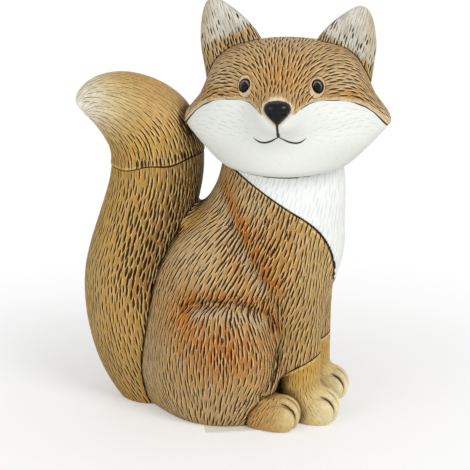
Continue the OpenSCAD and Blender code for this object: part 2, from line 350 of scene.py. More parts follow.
class Sculpt:
    """A mesh in the making: points in its own frame, quads, normals and painted channels."""

    def __init__(self, name: str, form: Form, low: Row, high: Row, step: float) -> None:
        """Meshes a field and settles the mesh on its surface.

        Args:
            name: The piece's name.
            form: The field of signed distance.
            low: Lowest corner of the space to mesh.
            high: Highest corner of the space to mesh.
            step: Size of a voxel.
        """
        self.name = name
        step *= COARSE
        axes = [np.arange(a - 2 * step, b + 2 * step, step) for a, b in zip(low, high)]
        values = form(*np.meshgrid(*axes, indexing="ij", sparse=True))
        band = 3 * step
        grid = openvdb.FloatGrid(band)
        grid.copyFromArray(np.clip(values, -band, band).astype(np.float32))
        points, quads = grid.convertToQuads(isovalue=0.0)
        self.points = points.astype(float) * step + [a[0] for a in axes]
        self.quads = quads.astype(np.int64)
        self.settle(form, step)
        self.normals = self.measure_normals()
        centre = self.points.mean(0)
        if ((self.points - centre) * self.normals).sum() < 0:
            self.quads = self.quads[:, ::-1]
            self.normals = -self.normals
        self.channels: dict[str, Array] = {}
        self.relief = np.zeros(len(self.points))
        self.tree = KDTree(len(self.points))
        for k, point in enumerate(self.points):
            self.tree.insert(point, k)
        self.tree.balance()

    def settle(self, form: Form, step: float) -> None:
        """Moves the points onto the field's surface, by at most half a voxel.

        Args:
            form: The field of signed distance.
            step: Size of a voxel.
        """
        reach = 0.25 * step
        x, y, z = self.points.T
        slope = np.column_stack(
            [
                form(x + reach, y, z) - form(x - reach, y, z),
                form(x, y + reach, z) - form(x, y - reach, z),
                form(x, y, z + reach) - form(x, y, z - reach),
            ]
        ) / (2 * reach)
        steep = np.maximum((slope**2).sum(1), 0.05)
        move = np.clip(form(x, y, z) / steep, -0.5 * step, 0.5 * step)
        self.points -= move[:, None] * slope

    def measure_normals(self) -> Array:
        """Gives the unit normal at each point.

        Returns:
            One row for each point.
        """
        a, b, c, d = (self.points[self.quads[:, k]] for k in range(4))
        faces = np.cross(c - a, d - b)
        normals = np.zeros_like(self.points)
        for k in range(4):
            for axis in range(3):
                normals[:, axis] += np.bincount(self.quads[:, k], faces[:, axis], len(self.points))
        return normals / np.maximum(np.linalg.norm(normals, axis=1, keepdims=True), 1e-9)

    def channel(self, name: str, value: float = FAR) -> Array:
        """Gives a channel of one value for each point, made on first use."""
        return self.channels.setdefault(name, np.full(len(self.points), value))

    def line_field(
        self, name: str, signed: Array, half_width: float | Array, keep_off: Array | float = 0.0
    ) -> None:
        """Draws the line where a signed distance is nought.

        Args:
            name: The channel.
            signed: Distance from the line, in millimetres, with its side as the sign.
            half_width: Half the line's width.
            keep_off: A distance added where the line must not show.
        """
        gaps, sides = self.channel(name), self.channel(name + "_side")
        share = signed / half_width
        better = np.abs(share) < np.abs(sides)
        sides[better] = share[better]
        gap = np.abs(signed) + keep_off
        gaps[better] = (gap + 0 * share)[better]

    def settle_relief(self) -> None:
        """Moves the points by the depth of the lines cut so far, and starts afresh."""
        self.points = self.points + self.relief[:, None] * self.normals
        self.relief = np.zeros(len(self.points))

    def shade(self, where: "Placement", crowd: "Crowd") -> None:
        """Finds how enclosed each point is, where the wash gathers and painted shade darkens the paint.

        Args:
            where: The frame of this piece.
            crowd: All the forms of the figurine.
        """
        # Painted shade: the nearer the forms of this piece and its neighbours, the darker the paint is laid,
        # on top of the wash in the hollows
        total = np.zeros(len(self.points))
        reaches = (0.9, 2.2, 5.0)
        for reach in reaches:
            places = where.out(self.points + reach * self.normals)
            total += np.clip(1 - crowd.distance(places) / reach, 0, 1)
        self.channels["hollow"] = total / len(reaches)

    def trace(self, start: Array, flow: Array, length: float, pace: float = 0.5) -> Array:
        """Follows the fur from a place on the surface, both ways.

        Args:
            start: The place to start from.
            flow: Direction of the fur at each point.
            length: Length of the stroke.
            pace: Length of a step.

        Returns:
            The stroke's points, on the surface.
        """
        halves = []
        for way in (-1, 1):
            place, half = np.array(start, float), []
            for _ in range(max(1, round(length / 2 / pace))):
                _, k, _ = self.tree.find(place)
                if flow[k] @ flow[k] < 0.98:
                    break
                place = place + way * pace * flow[k]
                _, k, _ = self.tree.find(place)
                place = place - ((place - self.points[k]) @ self.normals[k]) * self.normals[k]
                half.append(place)
            halves.append(half)
        return np.array(halves[0][::-1] + [np.array(start, float)] + halves[1])

    def ink(
        self, name: str, line: Array, half_width: float, blunt: float = 0.5, depth: float = 0.0
    ) -> None:
        """Draws a line into a channel, and cuts it.

        The channel holds the distance in millimetres. Its _side channel holds the signed
        distance over the half width, which stays straight between the points, so that a
        line finer than the mesh is still drawn sharp.

        Args:
            name: The channel.
            line: The line's points, close to the surface.
            half_width: Half the width at the line's middle.
            blunt: 0 for ends as wide as the middle, 1 for ends that taper to nothing.
            depth: Depth of the cut; a raised line is negative.
        """
        gaps, sides = self.channel(name), self.channel(name + "_side")
        middle = line.mean(0)
        reach = np.linalg.norm(line - middle, axis=1).max() + 2.5 * half_width + 0.4
        near = np.array([k for _, k, _ in self.tree.find_range(middle, reach)], int)
        if not len(near):
            return
        spot, up = self.points[near], self.normals[near]
        share_best = np.full(len(near), FAR)
        gap_best = np.full(len(near), FAR)
        cut = np.zeros(len(near))
        run = np.linspace(0, 1, len(line))
        for k in range(len(line) - 1):
            leg = line[k + 1] - line[k]
            size = float(np.sqrt(leg @ leg))
            # Where the fur would stand off the surface a stroke stops, and has no direction
            if size < 0.05:
                continue
            t = np.clip((spot - line[k]) @ leg / size**2, 0, 1)
            off = spot - line[k] - t[:, None] * leg
            across = (off * np.cross(up, leg / size)).sum(1)
            rise = (off * up).sum(1)
            lifted = np.maximum(np.abs(rise) - 0.5, 0)
            distance = np.sqrt(np.maximum((off**2).sum(1) - rise**2, 0) + lifted**2)
            place = run[k] + t * (run[k + 1] - run[k])
            taper = np.maximum(1 - blunt * np.abs(2 * place - 1) ** 2.5, 0.1)
            share = distance / (half_width * taper)
            better = share < np.abs(share_best)
            share_best = np.where(better, np.where(across < 0, -share, share), share_best)
            gap_best = np.where(better, distance, gap_best)
            cut = np.maximum(cut, taper * (1 - smooth_step(0, 1, distance / (half_width + 0.35))))
        better = np.abs(share_best) < np.abs(sides[near])
        sides[near[better]] = share_best[better]
        gaps[near[better]] = gap_best[better]
        pushed = -depth * cut
        choose = np.minimum if depth > 0 else np.maximum
        self.relief[near] = choose(self.relief[near], pushed)

    def stroke(self, names: tuple[str, ...], line: Array, half_width: float, depth: float) -> bool:
        """Cuts a stroke in whichever channel has no other stroke close by.

        Args:
            names: The channels to choose from.
            line: The stroke's points.
            half_width: Half the width at its middle.
            depth: Depth of the cut.

        Returns:
            Whether there was room for it.
        """
        spots = [self.tree.find(place)[1] for place in line[::2]]
        gaps = {name: self.channel(name)[spots].min() for name in names}
        free = max(gaps, key=gaps.get)
        if gaps[free] <= CLEAR:
            return False
        self.ink(free, line, half_width, 0.85, depth)
        return True


@dataclass(frozen=True)
class Fur:
    """One kind of fur stroke, with its sizes in millimetres."""

    length: float
    width: float
    beside: float
    ahead: float
    depth: float
    channels: tuple[str, ...] = FUR
    seed: int = 1

    def cut(self, sculpt: Sculpt, flow: Array, boldness: Array) -> int:
        """Cuts strokes all over a piece, staggered along the flow.

        Args:
            sculpt: The piece.
            flow: Direction of the fur at each point.
            boldness: Width of the strokes at each point as a share; 0 leaves bare.

        Returns:
            The number of strokes.
        """
        draw = np.random.default_rng(self.seed)
        order = draw.permutation(len(sculpt.points))
        taken = (boldness < 0.05) | (np.linalg.norm(flow, axis=1) < 0.99)
        count = 0
        for k in order:
            if taken[k]:
                continue
            near = np.array([i for _, i, _ in sculpt.tree.find_range(sculpt.points[k], self.ahead)], int)
            gap = sculpt.points[near] - sculpt.points[k]
            along = gap @ flow[k]
            across = (gap**2).sum(1) - along**2
            taken[near[(along / self.ahead) ** 2 + across / self.beside**2 < 1]] = True
            length = self.length * draw.uniform(0.7, 1.2)
            width = self.width * boldness[k] * draw.uniform(0.75, 1.2)
            line = sculpt.trace(sculpt.points[k], flow, length)
            count += sculpt.stroke(self.channels, line, width / 2, self.depth)
        sculpt.settle_relief()
        return count


def lay_along(directions: Array, normals: Array) -> Array:
    """Lays directions along a surface.

    Args:
        directions: Any directions.
        normals: The surface's unit normals.

    Returns:
        Unit directions along the surface, shorter where they would stand straight off it.
    """
    full = np.linalg.norm(directions, axis=1, keepdims=True)
    laid = directions - (directions * normals).sum(1, keepdims=True) * normals
    return laid / np.maximum(np.linalg.norm(laid, axis=1, keepdims=True), LEAST_LIE * full)


@dataclass(frozen=True)
class Flow:
    """Direction of the fur, spread from a few guides: place and direction, one side only."""

    guides: tuple[Row, ...]
    mirror_axis: int
    squeeze: Row = (1.0, 1.0, 1.0)
    # Square of the distance within which a guide's pull hardly falls, and how fast it falls beyond
    softness: float = 16.0
    fall: float = 1.9

    def at(self, points: Array, normals: Array) -> Array:
        """Gives the direction at each point, along the surface.

        Args:
            points: The places.
            normals: The surface's normals there.

        Returns:
            Unit directions.
        """
        guides = np.array(self.guides, float)
        mirrored = guides.copy()
        mirrored[:, [self.mirror_axis, self.mirror_axis + 3]] *= -1
        total = np.zeros_like(points)
        for row in np.vstack([guides, mirrored]):
            away = (((points - row[:3]) * self.squeeze) ** 2).sum(1)
            total += (row[3:] / np.linalg.norm(row[3:])) / (away[:, None] + self.softness) ** self.fall
        return lay_along(total, normals)


# Colours


def linear(code: str) -> tuple[float, float, float, float]:
    """Turns an sRGB hex code into a linear colour.

    Args:
        code: The code, as # and six digits.

    Returns:
        Red, green, blue and an alpha of 1.
    """
    parts = [int(code[k : k + 2], 16) / 255 for k in (1, 3, 5)]
    red, green, blue = (c / 12.92 if c <= 0.04045 else ((c + 0.055) / 1.055) ** 2.4 for c in parts)
    return red, green, blue, 1.0


def lay_over(coat: Array, share: Array, colour: str) -> None:
    """Mixes a colour into a coat, by a share at each point."""
    coat += share[:, None] * (np.array(linear(colour)) - coat)


@dataclass(frozen=True)
class Zone:
    """A soft patch of paint: middle and reach in millimetres, colour and strength."""

    middle: Row
    reach: Row
    colour: str
    strength: float = 1.0


@dataclass(frozen=True)
class Band:
    """A soft stripe of paint along a line in the side view, in millimetres."""

    line: tuple[Row, ...]
    reach: float
    colour: str
    strength: float

    def cover(self, coat: Array, u: Array, v: Array) -> None:
        """Paints the stripe over a coat, at places u and v of the side view."""
        away = line_distance(u, v, list(self.line)) / self.reach
        lay_over(coat, self.strength * bell(away), self.colour)


def paint_zones(points: Array, base: str, zones: list[Zone]) -> Array:
    """Mixes soft patches over a base colour.

    Args:
        points: The places to paint.
        base: The base colour's code.
        zones: The patches, painted in turn.

    Returns:
        A linear colour for each place.
    """
    coat = np.tile(linear(base), (len(points), 1))
    for zone in zones:
        away = (((points - zone.middle) / zone.reach) ** 2).sum(1)
        lay_over(coat, zone.strength * np.exp(-away), zone.colour)
    return coat


# Materials

RANGE, MATH, MIX = "ShaderNodeMapRange", "ShaderNodeMath", "ShaderNodeMix"
NOISE, CHANNEL = "ShaderNodeTexNoise", "ShaderNodeAttribute"
SMOOTH = {"interpolation_type": "SMOOTHSTEP"}
OVER = {"data_type": "RGBA"}
TINT = {"data_type": "RGBA", "blend_type": "MULTIPLY"}


def add_node(
    tree: Tree,
    kind: str,
    settings: dict | None = None,
    output: int | str = 0,
    **inputs: object,
) -> Socket:
    """Adds a node with its settings, values and links.

    Args:
        tree: The material's node tree.
        kind: The node's type.
        settings: Properties of the node.
        output: The output that is wanted.
        **inputs: A value or an output for each socket, by name with _ for a space, or s0, s1 by place.

    Returns:
        The wanted output.
    """
    node = tree.nodes.new(kind)
    for name, value in (settings or {}).items():
        setattr(node, name, value)
    for name, value in inputs.items():
        key = int(name[1:]) if name[0] == "s" and name[1:].isdigit() else name.replace("_", " ")
        socket = node.inputs[key]
        if isinstance(value, Socket):
            tree.links.new(value, socket)
        else:
            socket.default_value = value
    return node.outputs[output]


def new_material(name: str) -> tuple[Material, Tree, bpy.types.Node]:
    """Starts a material.

    Args:
        name: The finish's name.

    Returns:
        The material, its node tree and its principled shader.
    """
    material = bpy.data.materials.new(name)
    material.use_nodes = True
    return material, material.node_tree, material.node_tree.nodes["Principled BSDF"]


def per_metre(size: float) -> float:
    """Gives the noise scale at which a pattern's features are this many millimetres."""
    return 1 / (size * MM)


@dataclass(frozen=True)
class PaintedResin:
    """Cast polyester resin, brushed with acrylic paint, washed dark and dry-brushed pale.

    The wash lies in the cut strokes and the hollows, where painted shade darkens it further
    the more the forms close in; the dry brush catches the ridge beside each stroke, and a thin
    matt lacquer leaves the hollows deep and warm.
    """

    name: str
    wash: str = "#3a1904"
    wash_strength: float = 0.96
    ridge: str = "#e2c78e"
    ridge_strength: float = 0.66
    line: str = "#2a170a"
    # Brown laid in the hollows: the wash, and painted shade where the forms close in
    hollow: str = "#5b3410"
    shade_and_wash_strength: float = 0.9
    down_strength: float = 0.5
    roughness: float = 0.5
    shine: float = 0.07
    mottle: float = 0.08
    relief: float = 0.5
    # How far the wash, the dry brush, a raised edge and a seam may lie from their line, in millimetres
    wash_reach: float = 0.52
    ridge_reach: float = 0.85
    edge_reach: float = 0.6
    seam_reach: float = 0.62
    down_reach: float = 0.36
    down_ridge_reach: float = 0.46

    def stripe(
        self,
        tree: Tree,
        channels: tuple[str, ...],
        middle: float,
        half: float,
        strength: float,
        reach: float,
    ) -> Socket:
        """Gives the cover of a stripe along the lines of some channels, with sharp sides.

        Args:
            tree: The material's node tree.
            channels: The channels of the lines.
            middle: The stripe's place beside the line, in half widths of the line.
            half: Half the stripe's width, in the same unit.
            strength: The cover at the stripe's middle.
            reach: Distance from the line, in millimetres, that the stripe never passes.

        Returns:
            The cover.
        """
        cover = 0.0
        for name in channels:
            gap = add_node(tree, CHANNEL, {"attribute_name": name}, "Fac")
            side = add_node(tree, CHANNEL, {"attribute_name": name + "_side"}, "Fac")
            away = add_node(tree, MATH, {"operation": "SUBTRACT"}, s0=side, s1=middle)
            away = add_node(tree, MATH, {"operation": "ABSOLUTE"}, s0=away)
            start, end = 0.65 * half, 1.35 * half
            sharp = add_node(tree, RANGE, SMOOTH, s0=away, s1=start, s2=end, s3=strength, s4=0.0)
            # Between two lines the signed distance jumps, and only this keeps a false line away
            near = add_node(tree, RANGE, SMOOTH, s0=gap, s1=0.75 * reach, s2=reach, s3=1.0, s4=0.0)
            drawn = add_node(tree, MATH, {"operation": "MULTIPLY"}, s0=sharp, s1=near)
            cover = add_node(tree, MATH, {"operation": "MAXIMUM"}, s0=cover, s1=drawn)
        return cover

    def build(self) -> Material:
        """Builds the material."""
        material, tree, shader = new_material(self.name)
        shader.inputs["Specular IOR Level"].default_value = self.shine
        place = add_node(tree, "ShaderNodeTexCoord", output="Object")
        stroke = self.stripe(tree, FUR, 0.0, 1.0, self.wash_strength, self.wash_reach)
        coat, ridge = self.brush_coat(tree, place, stroke)
        tree.links.new(self.finish_coat(tree, place, coat), shader.inputs["Base Color"])
        # Grain of the lacquer at 0.4 mm
        grain = add_node(tree, NOISE, Vector=place, Scale=per_metre(0.4), Detail=2.0)
        low, high = self.roughness - 0.06, self.roughness + 0.08
        rough = add_node(tree, RANGE, SMOOTH, s0=grain, s1=0.3, s2=0.7, s3=low, s4=high)
        tree.links.new(rough, shader.inputs["Roughness"])
        raised = add_node(tree, MATH, {"operation": "MULTIPLY_ADD"}, s0=ridge, s1=0.5, s2=0.0)
        raised = add_node(tree, MATH, {"operation": "SUBTRACT"}, s0=raised, s1=stroke)
        height = add_node(tree, MATH, {"operation": "MULTIPLY_ADD"}, s0=grain, s1=0.35, s2=raised)
        bump = add_node(tree, "ShaderNodeBump", Strength=self.relief, Distance=0.12 * MM, Height=height)
        tree.links.new(bump, shader.inputs["Normal"])
        return material

    def brush_coat(self, tree: Tree, place: Socket, stroke: Socket) -> tuple[Socket, Socket]:
        """Lays the brushed colour, the wash with painted shade in the hollows, and the dry brush.

        Args:
            tree: The material's node tree.
            place: The object's own coordinates.
            stroke: Cover of the cut strokes.

        Returns:
            The colour, and the cover of the dry brush.
        """
        coat = add_node(tree, CHANNEL, {"attribute_name": "coat"}, "Color")
        low, high = 1 - self.mottle, 1 + self.mottle
        # Brush marks about 3 mm across, and the tooth of the cast at 0.6 mm
        for size in (3.0, 0.6):
            tooth = add_node(tree, NOISE, Vector=place, Scale=per_metre(size), Detail=2.0)
            value = add_node(tree, RANGE, SMOOTH, s0=tooth, s1=0.3, s2=0.7, s3=low, s4=high)
            grey = add_node(tree, "ShaderNodeCombineColor", Red=value, Green=value, Blue=value)
            coat = add_node(tree, MIX, TINT, 2, s0=1.0, s6=coat, s7=grey)
        # Painted shade: the more enclosed a point, the more of the hollow's brown, which also stands for the
        # wash gathered there
        hollow = add_node(tree, CHANNEL, {"attribute_name": "hollow"}, "Fac")
        deepest = self.shade_and_wash_strength
        wash_and_shade = add_node(tree, RANGE, SMOOTH, s0=hollow, s1=0.12, s2=0.62, s3=0.0, s4=deepest)
        coat = add_node(tree, MIX, TINT, 2, s0=wash_and_shade, s6=coat, s7=linear(self.hollow))
        fine = self.stripe(tree, DOWN, 0.0, 1.0, self.down_strength, self.down_reach)
        coat = add_node(tree, MIX, TINT, 2, s0=fine, s6=coat, s7=linear(self.wash))
        light = self.stripe(tree, DOWN, 2.6, 1.1, 0.4 * self.ridge_strength, self.down_ridge_reach)
        coat = add_node(tree, MIX, OVER, 2, s0=light, s6=coat, s7=linear(self.ridge))
        # The dry brush skips in patches of 1.5 mm
        skip = add_node(tree, NOISE, Vector=place, Scale=per_metre(1.5), Detail=2.0)
        patchy = add_node(tree, RANGE, SMOOTH, s0=skip, s1=0.35, s2=0.55, s3=0.3, s4=1.0)
        ridge = self.stripe(tree, FUR, 2.1, 0.8, self.ridge_strength, self.ridge_reach)
        edge = self.stripe(tree, ("ridge",), 0.0, 1.0, self.ridge_strength, self.edge_reach)
        ridge = add_node(tree, MATH, {"operation": "MAXIMUM"}, s0=ridge, s1=edge)
        ridge = add_node(tree, MATH, {"operation": "MULTIPLY"}, s0=ridge, s1=patchy)
        coat = add_node(tree, MIX, OVER, 2, s0=ridge, s6=coat, s7=linear(self.ridge))
        coat = add_node(tree, MIX, TINT, 2, s0=stroke, s6=coat, s7=linear(self.wash))
        return coat, ridge

    def finish_coat(self, tree: Tree, place: Socket, coat: Socket) -> Socket:
        """Draws the dark seams over the coat.

        Args:
            tree: The material's node tree.
            place: The object's own coordinates; not used here.
            coat: The colour so far.

        Returns:
            The finished colour.
        """
        seam = self.stripe(tree, ("seam",), 0.0, 1.0, 0.95, self.seam_reach)
        return add_node(tree, MIX, OVER, 2, s0=seam, s6=coat, s7=linear(self.line))


@dataclass(frozen=True)
class FacePaint(PaintedResin):
    """The painted resin of the head, with matt white acrylic over its lower face.

    The white was brushed on over the wash, so it stays clean: only a trace of grey green
    lies in its strokes, and a faint speckle shows on the jaws. Its hollows take a grey green
    painted shade.
    """

    chalk_wash: str = "#cfd2c8"
    chalk_line: str = "#1d1610"
    chalk_shade: str = "#b4b6a8"
    chalk_strength: float = 0.4
    chalk_reach: float = 0.4
    speckle: str = "#c9cdbf"

    def finish_coat(self, tree: Tree, place: Socket, coat: Socket) -> Socket:
        """Draws the seams, and lays the white over the part of the face that takes it.

        Args:
            tree: The material's node tree.
            place: The object's own coordinates.
            coat: The colour so far.

        Returns:
            The finished colour.
        """
        coat = super().finish_coat(tree, place, coat)
        chalk = add_node(tree, CHANNEL, {"attribute_name": "coat"}, "Color")
        # Painted shade in the white's hollows, a pale grey green
        hollow = add_node(tree, CHANNEL, {"attribute_name": "hollow"}, "Fac")
        wash_and_shade = add_node(tree, RANGE, SMOOTH, s0=hollow, s1=0.15, s2=0.8, s3=0.0, s4=0.8)
        chalk = add_node(tree, MIX, TINT, 2, s0=wash_and_shade, s6=chalk, s7=linear(self.chalk_shade))
        fine = self.stripe(tree, DOWN, 0.0, 1.0, self.chalk_strength, self.chalk_reach)
        chalk = add_node(tree, MIX, TINT, 2, s0=fine, s6=chalk, s7=linear(self.chalk_wash))
        # Speckle of 0.7 mm
        dots = add_node(tree, NOISE, Vector=place, Scale=per_metre(0.7), Detail=2.0)
        speckle = add_node(tree, RANGE, SMOOTH, s0=dots, s1=0.6, s2=0.75, s3=0.0, s4=0.25)
        chalk = add_node(tree, MIX, TINT, 2, s0=speckle, s6=chalk, s7=linear(self.speckle))
        seam = self.stripe(tree, ("seam",), 0.0, 1.0, 0.95, self.seam_reach)
        chalk = add_node(tree, MIX, OVER, 2, s0=seam, s6=chalk, s7=linear(self.chalk_line))
        white = add_node(tree, CHANNEL, {"attribute_name": "white"}, "Fac")
        cover = add_node(tree, RANGE, SMOOTH, s0=white, s1=0.3, s2=0.7, s3=0.0, s4=1.0)
        return add_node(tree, MIX, OVER, 2, s0=cover, s6=coat, s7=chalk)


# Matt white acrylic brushed over the same cast resin. The wash in it is a thin grey green, so
# the chest reads as clean chalk with faint soft strokes
CHALK_BIB = PaintedResin(
    "chalk_white_bib",
    wash="#c8ccc3",
    wash_strength=0.55,
    ridge="#f7f7f4",
    ridge_strength=0.4,
    line="#4a4034",
    # A pale grey green painted shade in the bib's hollows, most under the chin
    hollow="#b9bbae",
    down_strength=0.38,
    roughness=0.56,
    mottle=0.015,
    relief=0.35,
)


@dataclass(frozen=True)
class GlossEnamel:
    """Solvent enamel dripped over a moulded bead: a deep black with a hard, wet shine.

    The enamel levels itself as it dries, so its highlight is small and sharp.
    """

    name: str
    colour: str = "#070606"
    mottled: str = "#120f0e"
    ring: str = "#7d705f"
    roughness: float = 0.12
    shine: float = 0.18
    coat: float = 0.06
    coat_roughness: float = 0.05

    def build(self) -> Material:
        """Builds the material."""
        material, tree, shader = new_material(self.name)
        shader.inputs["Specular IOR Level"].default_value = self.shine
        shader.inputs["Coat Weight"].default_value = self.coat
        shader.inputs["Coat Roughness"].default_value = self.coat_roughness
        place = add_node(tree, "ShaderNodeTexCoord", output="Object")
        # The enamel's depth varies over 0.8 mm
        depth = add_node(tree, NOISE, Vector=place, Scale=per_metre(0.8), Detail=2.0)
        tone = add_node(tree, RANGE, SMOOTH, s0=depth, s1=0.3, s2=0.7, s3=0.0, s4=1.0)
        deep, pale = linear(self.colour), linear(self.mottled)
        colour = add_node(tree, MIX, OVER, 2, s0=tone, s6=deep, s7=pale)
        # A pale iris ring in the bead, partly a painted reflection
        iris_and_reflection = add_node(tree, CHANNEL, {"attribute_name": "iris_and_reflection"}, "Fac")
        ring = add_node(tree, RANGE, SMOOTH, s0=iris_and_reflection, s1=0.3, s2=0.8, s3=0.0, s4=0.9)
        colour = add_node(tree, MIX, OVER, 2, s0=ring, s6=colour, s7=linear(self.ring))
        tree.links.new(colour, shader.inputs["Base Color"])
        low, high = self.roughness, self.roughness + 0.08
        rough = add_node(tree, RANGE, SMOOTH, s0=depth, s1=0.3, s2=0.7, s3=low, s4=high)
        tree.links.new(rough, shader.inputs["Roughness"])
        return material


@dataclass(frozen=True)
class PlainStock:
    """A plain stock, with two tones in a grain that one axis may stretch."""

    name: str
    light: str
    dark: str
    # Scale along each axis, small where the grain runs, and the grain's width in millimetres
    grain: Row
    size: float
    roughness: float
    metallic: float = 0.0

    def build(self) -> Material:
        """Builds the material."""
        material, tree, shader = new_material(self.name)
        shader.inputs["Metallic"].default_value = self.metallic
        place = add_node(tree, "ShaderNodeTexCoord", output="Object")
        stretched = add_node(tree, "ShaderNodeMapping", Vector=place, Scale=self.grain)
        made = add_node(tree, NOISE, Vector=stretched, Scale=per_metre(self.size), Detail=4.0)
        tone = add_node(tree, RANGE, SMOOTH, s0=made, s1=0.35, s2=0.65, s3=0.0, s4=1.0)
        light, dark = linear(self.light), linear(self.dark)
        colour = add_node(tree, MIX, OVER, 2, s0=tone, s6=light, s7=dark)
        tree.links.new(colour, shader.inputs["Base Color"])
        low, high = self.roughness, self.roughness + 0.1
        rough = add_node(tree, RANGE, SMOOTH, s0=made, s1=0.3, s2=0.7, s3=low, s4=high)
        tree.links.new(rough, shader.inputs["Roughness"])
        bump = add_node(tree, "ShaderNodeBump", Strength=0.2, Distance=0.05 * MM, Height=made)
        tree.links.new(bump, shader.inputs["Normal"])
        return material


# Turned beech: pale and dry, with a straight grain along the dowel
BEECH = PlainStock("turned_beech", "#d2b184", "#b58f5e", (1.0, 1.0, 0.08), 0.6, 0.55)
# Drawn, zinc-plated steel: a soft grey shine, with fine lines along each pin
RING_PIN = PlainStock("drawn_zinc_steel", "#b4b6b8", "#8f9294", (1.0, 1.0, 0.05), 0.2, 0.3, 1.0)
ROOT_PIN = replace(RING_PIN, name="drawn_zinc_steel_root", grain=(0.05, 1.0, 1.0))
# Moulded rubber: an even dark grey with no shine
RUBBER = PlainStock("moulded_rubber_plug", "#5a554f", "#48443f", (1.0, 1.0, 1.0), 0.5, 0.65)
# Matt coated paper: a clean white, faintly mottled
PAPER = PlainStock("matt_coated_paper", "#efefeb", "#e6e6e1", (1.0, 1.0, 1.0), 0.3, 0.6)


def add_object(name: str, data: bpy.types.ID) -> bpy.types.Object:
    """Adds an object with its data to the scene."""
    thing = bpy.data.objects.new(name, data)
    bpy.context.scene.collection.objects.link(thing)
    return thing


def place_piece(
    sculpt: Sculpt, placement: Placement, material: Material, node: str
) -> None:
    """Turns a sculpt into a piece of the figurine.

    Args:
        sculpt: The finished sculpt.
        placement: Where its own frame stands.
        material: Its finish.
        node: The CAD node that it stands for.
    """
    mesh = bpy.data.meshes.new(sculpt.name)
    points = placement.out(sculpt.points) * MM
    mesh.vertices.add(len(points))
    mesh.vertices.foreach_set("co", points.astype(np.float32).ravel())
    mesh.loops.add(sculpt.quads.size)
    mesh.loops.foreach_set("vertex_index", sculpt.quads.astype(np.int32).ravel())
    mesh.polygons.add(len(sculpt.quads))
    mesh.polygons.foreach_set("loop_start", np.arange(0, sculpt.quads.size, 4, dtype=np.int32))
    mesh.update(calc_edges=True)
    mesh.validate()
    mesh.shade_smooth()
    for name in (*FUR, *DOWN, "ridge", "seam"):
        sculpt.channel(name)
        sculpt.channel(name + "_side")
    for name in ("hollow", "iris_and_reflection"):
        sculpt.channel(name, 0.0)
    for name, values in sculpt.channels.items():
        colour = values.ndim == 2
        made = mesh.attributes.new(name, "FLOAT_COLOR" if colour else "FLOAT", "POINT")
        made.data.foreach_set("color" if colour else "value", values.astype(np.float32).ravel())
    mesh.materials.append(material)
    piece = add_object(sculpt.name, mesh)
    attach(piece, "root")
    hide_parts(node)
    log.info("%s: %d faces", sculpt.name, len(sculpt.quads))


# The figurine's forms


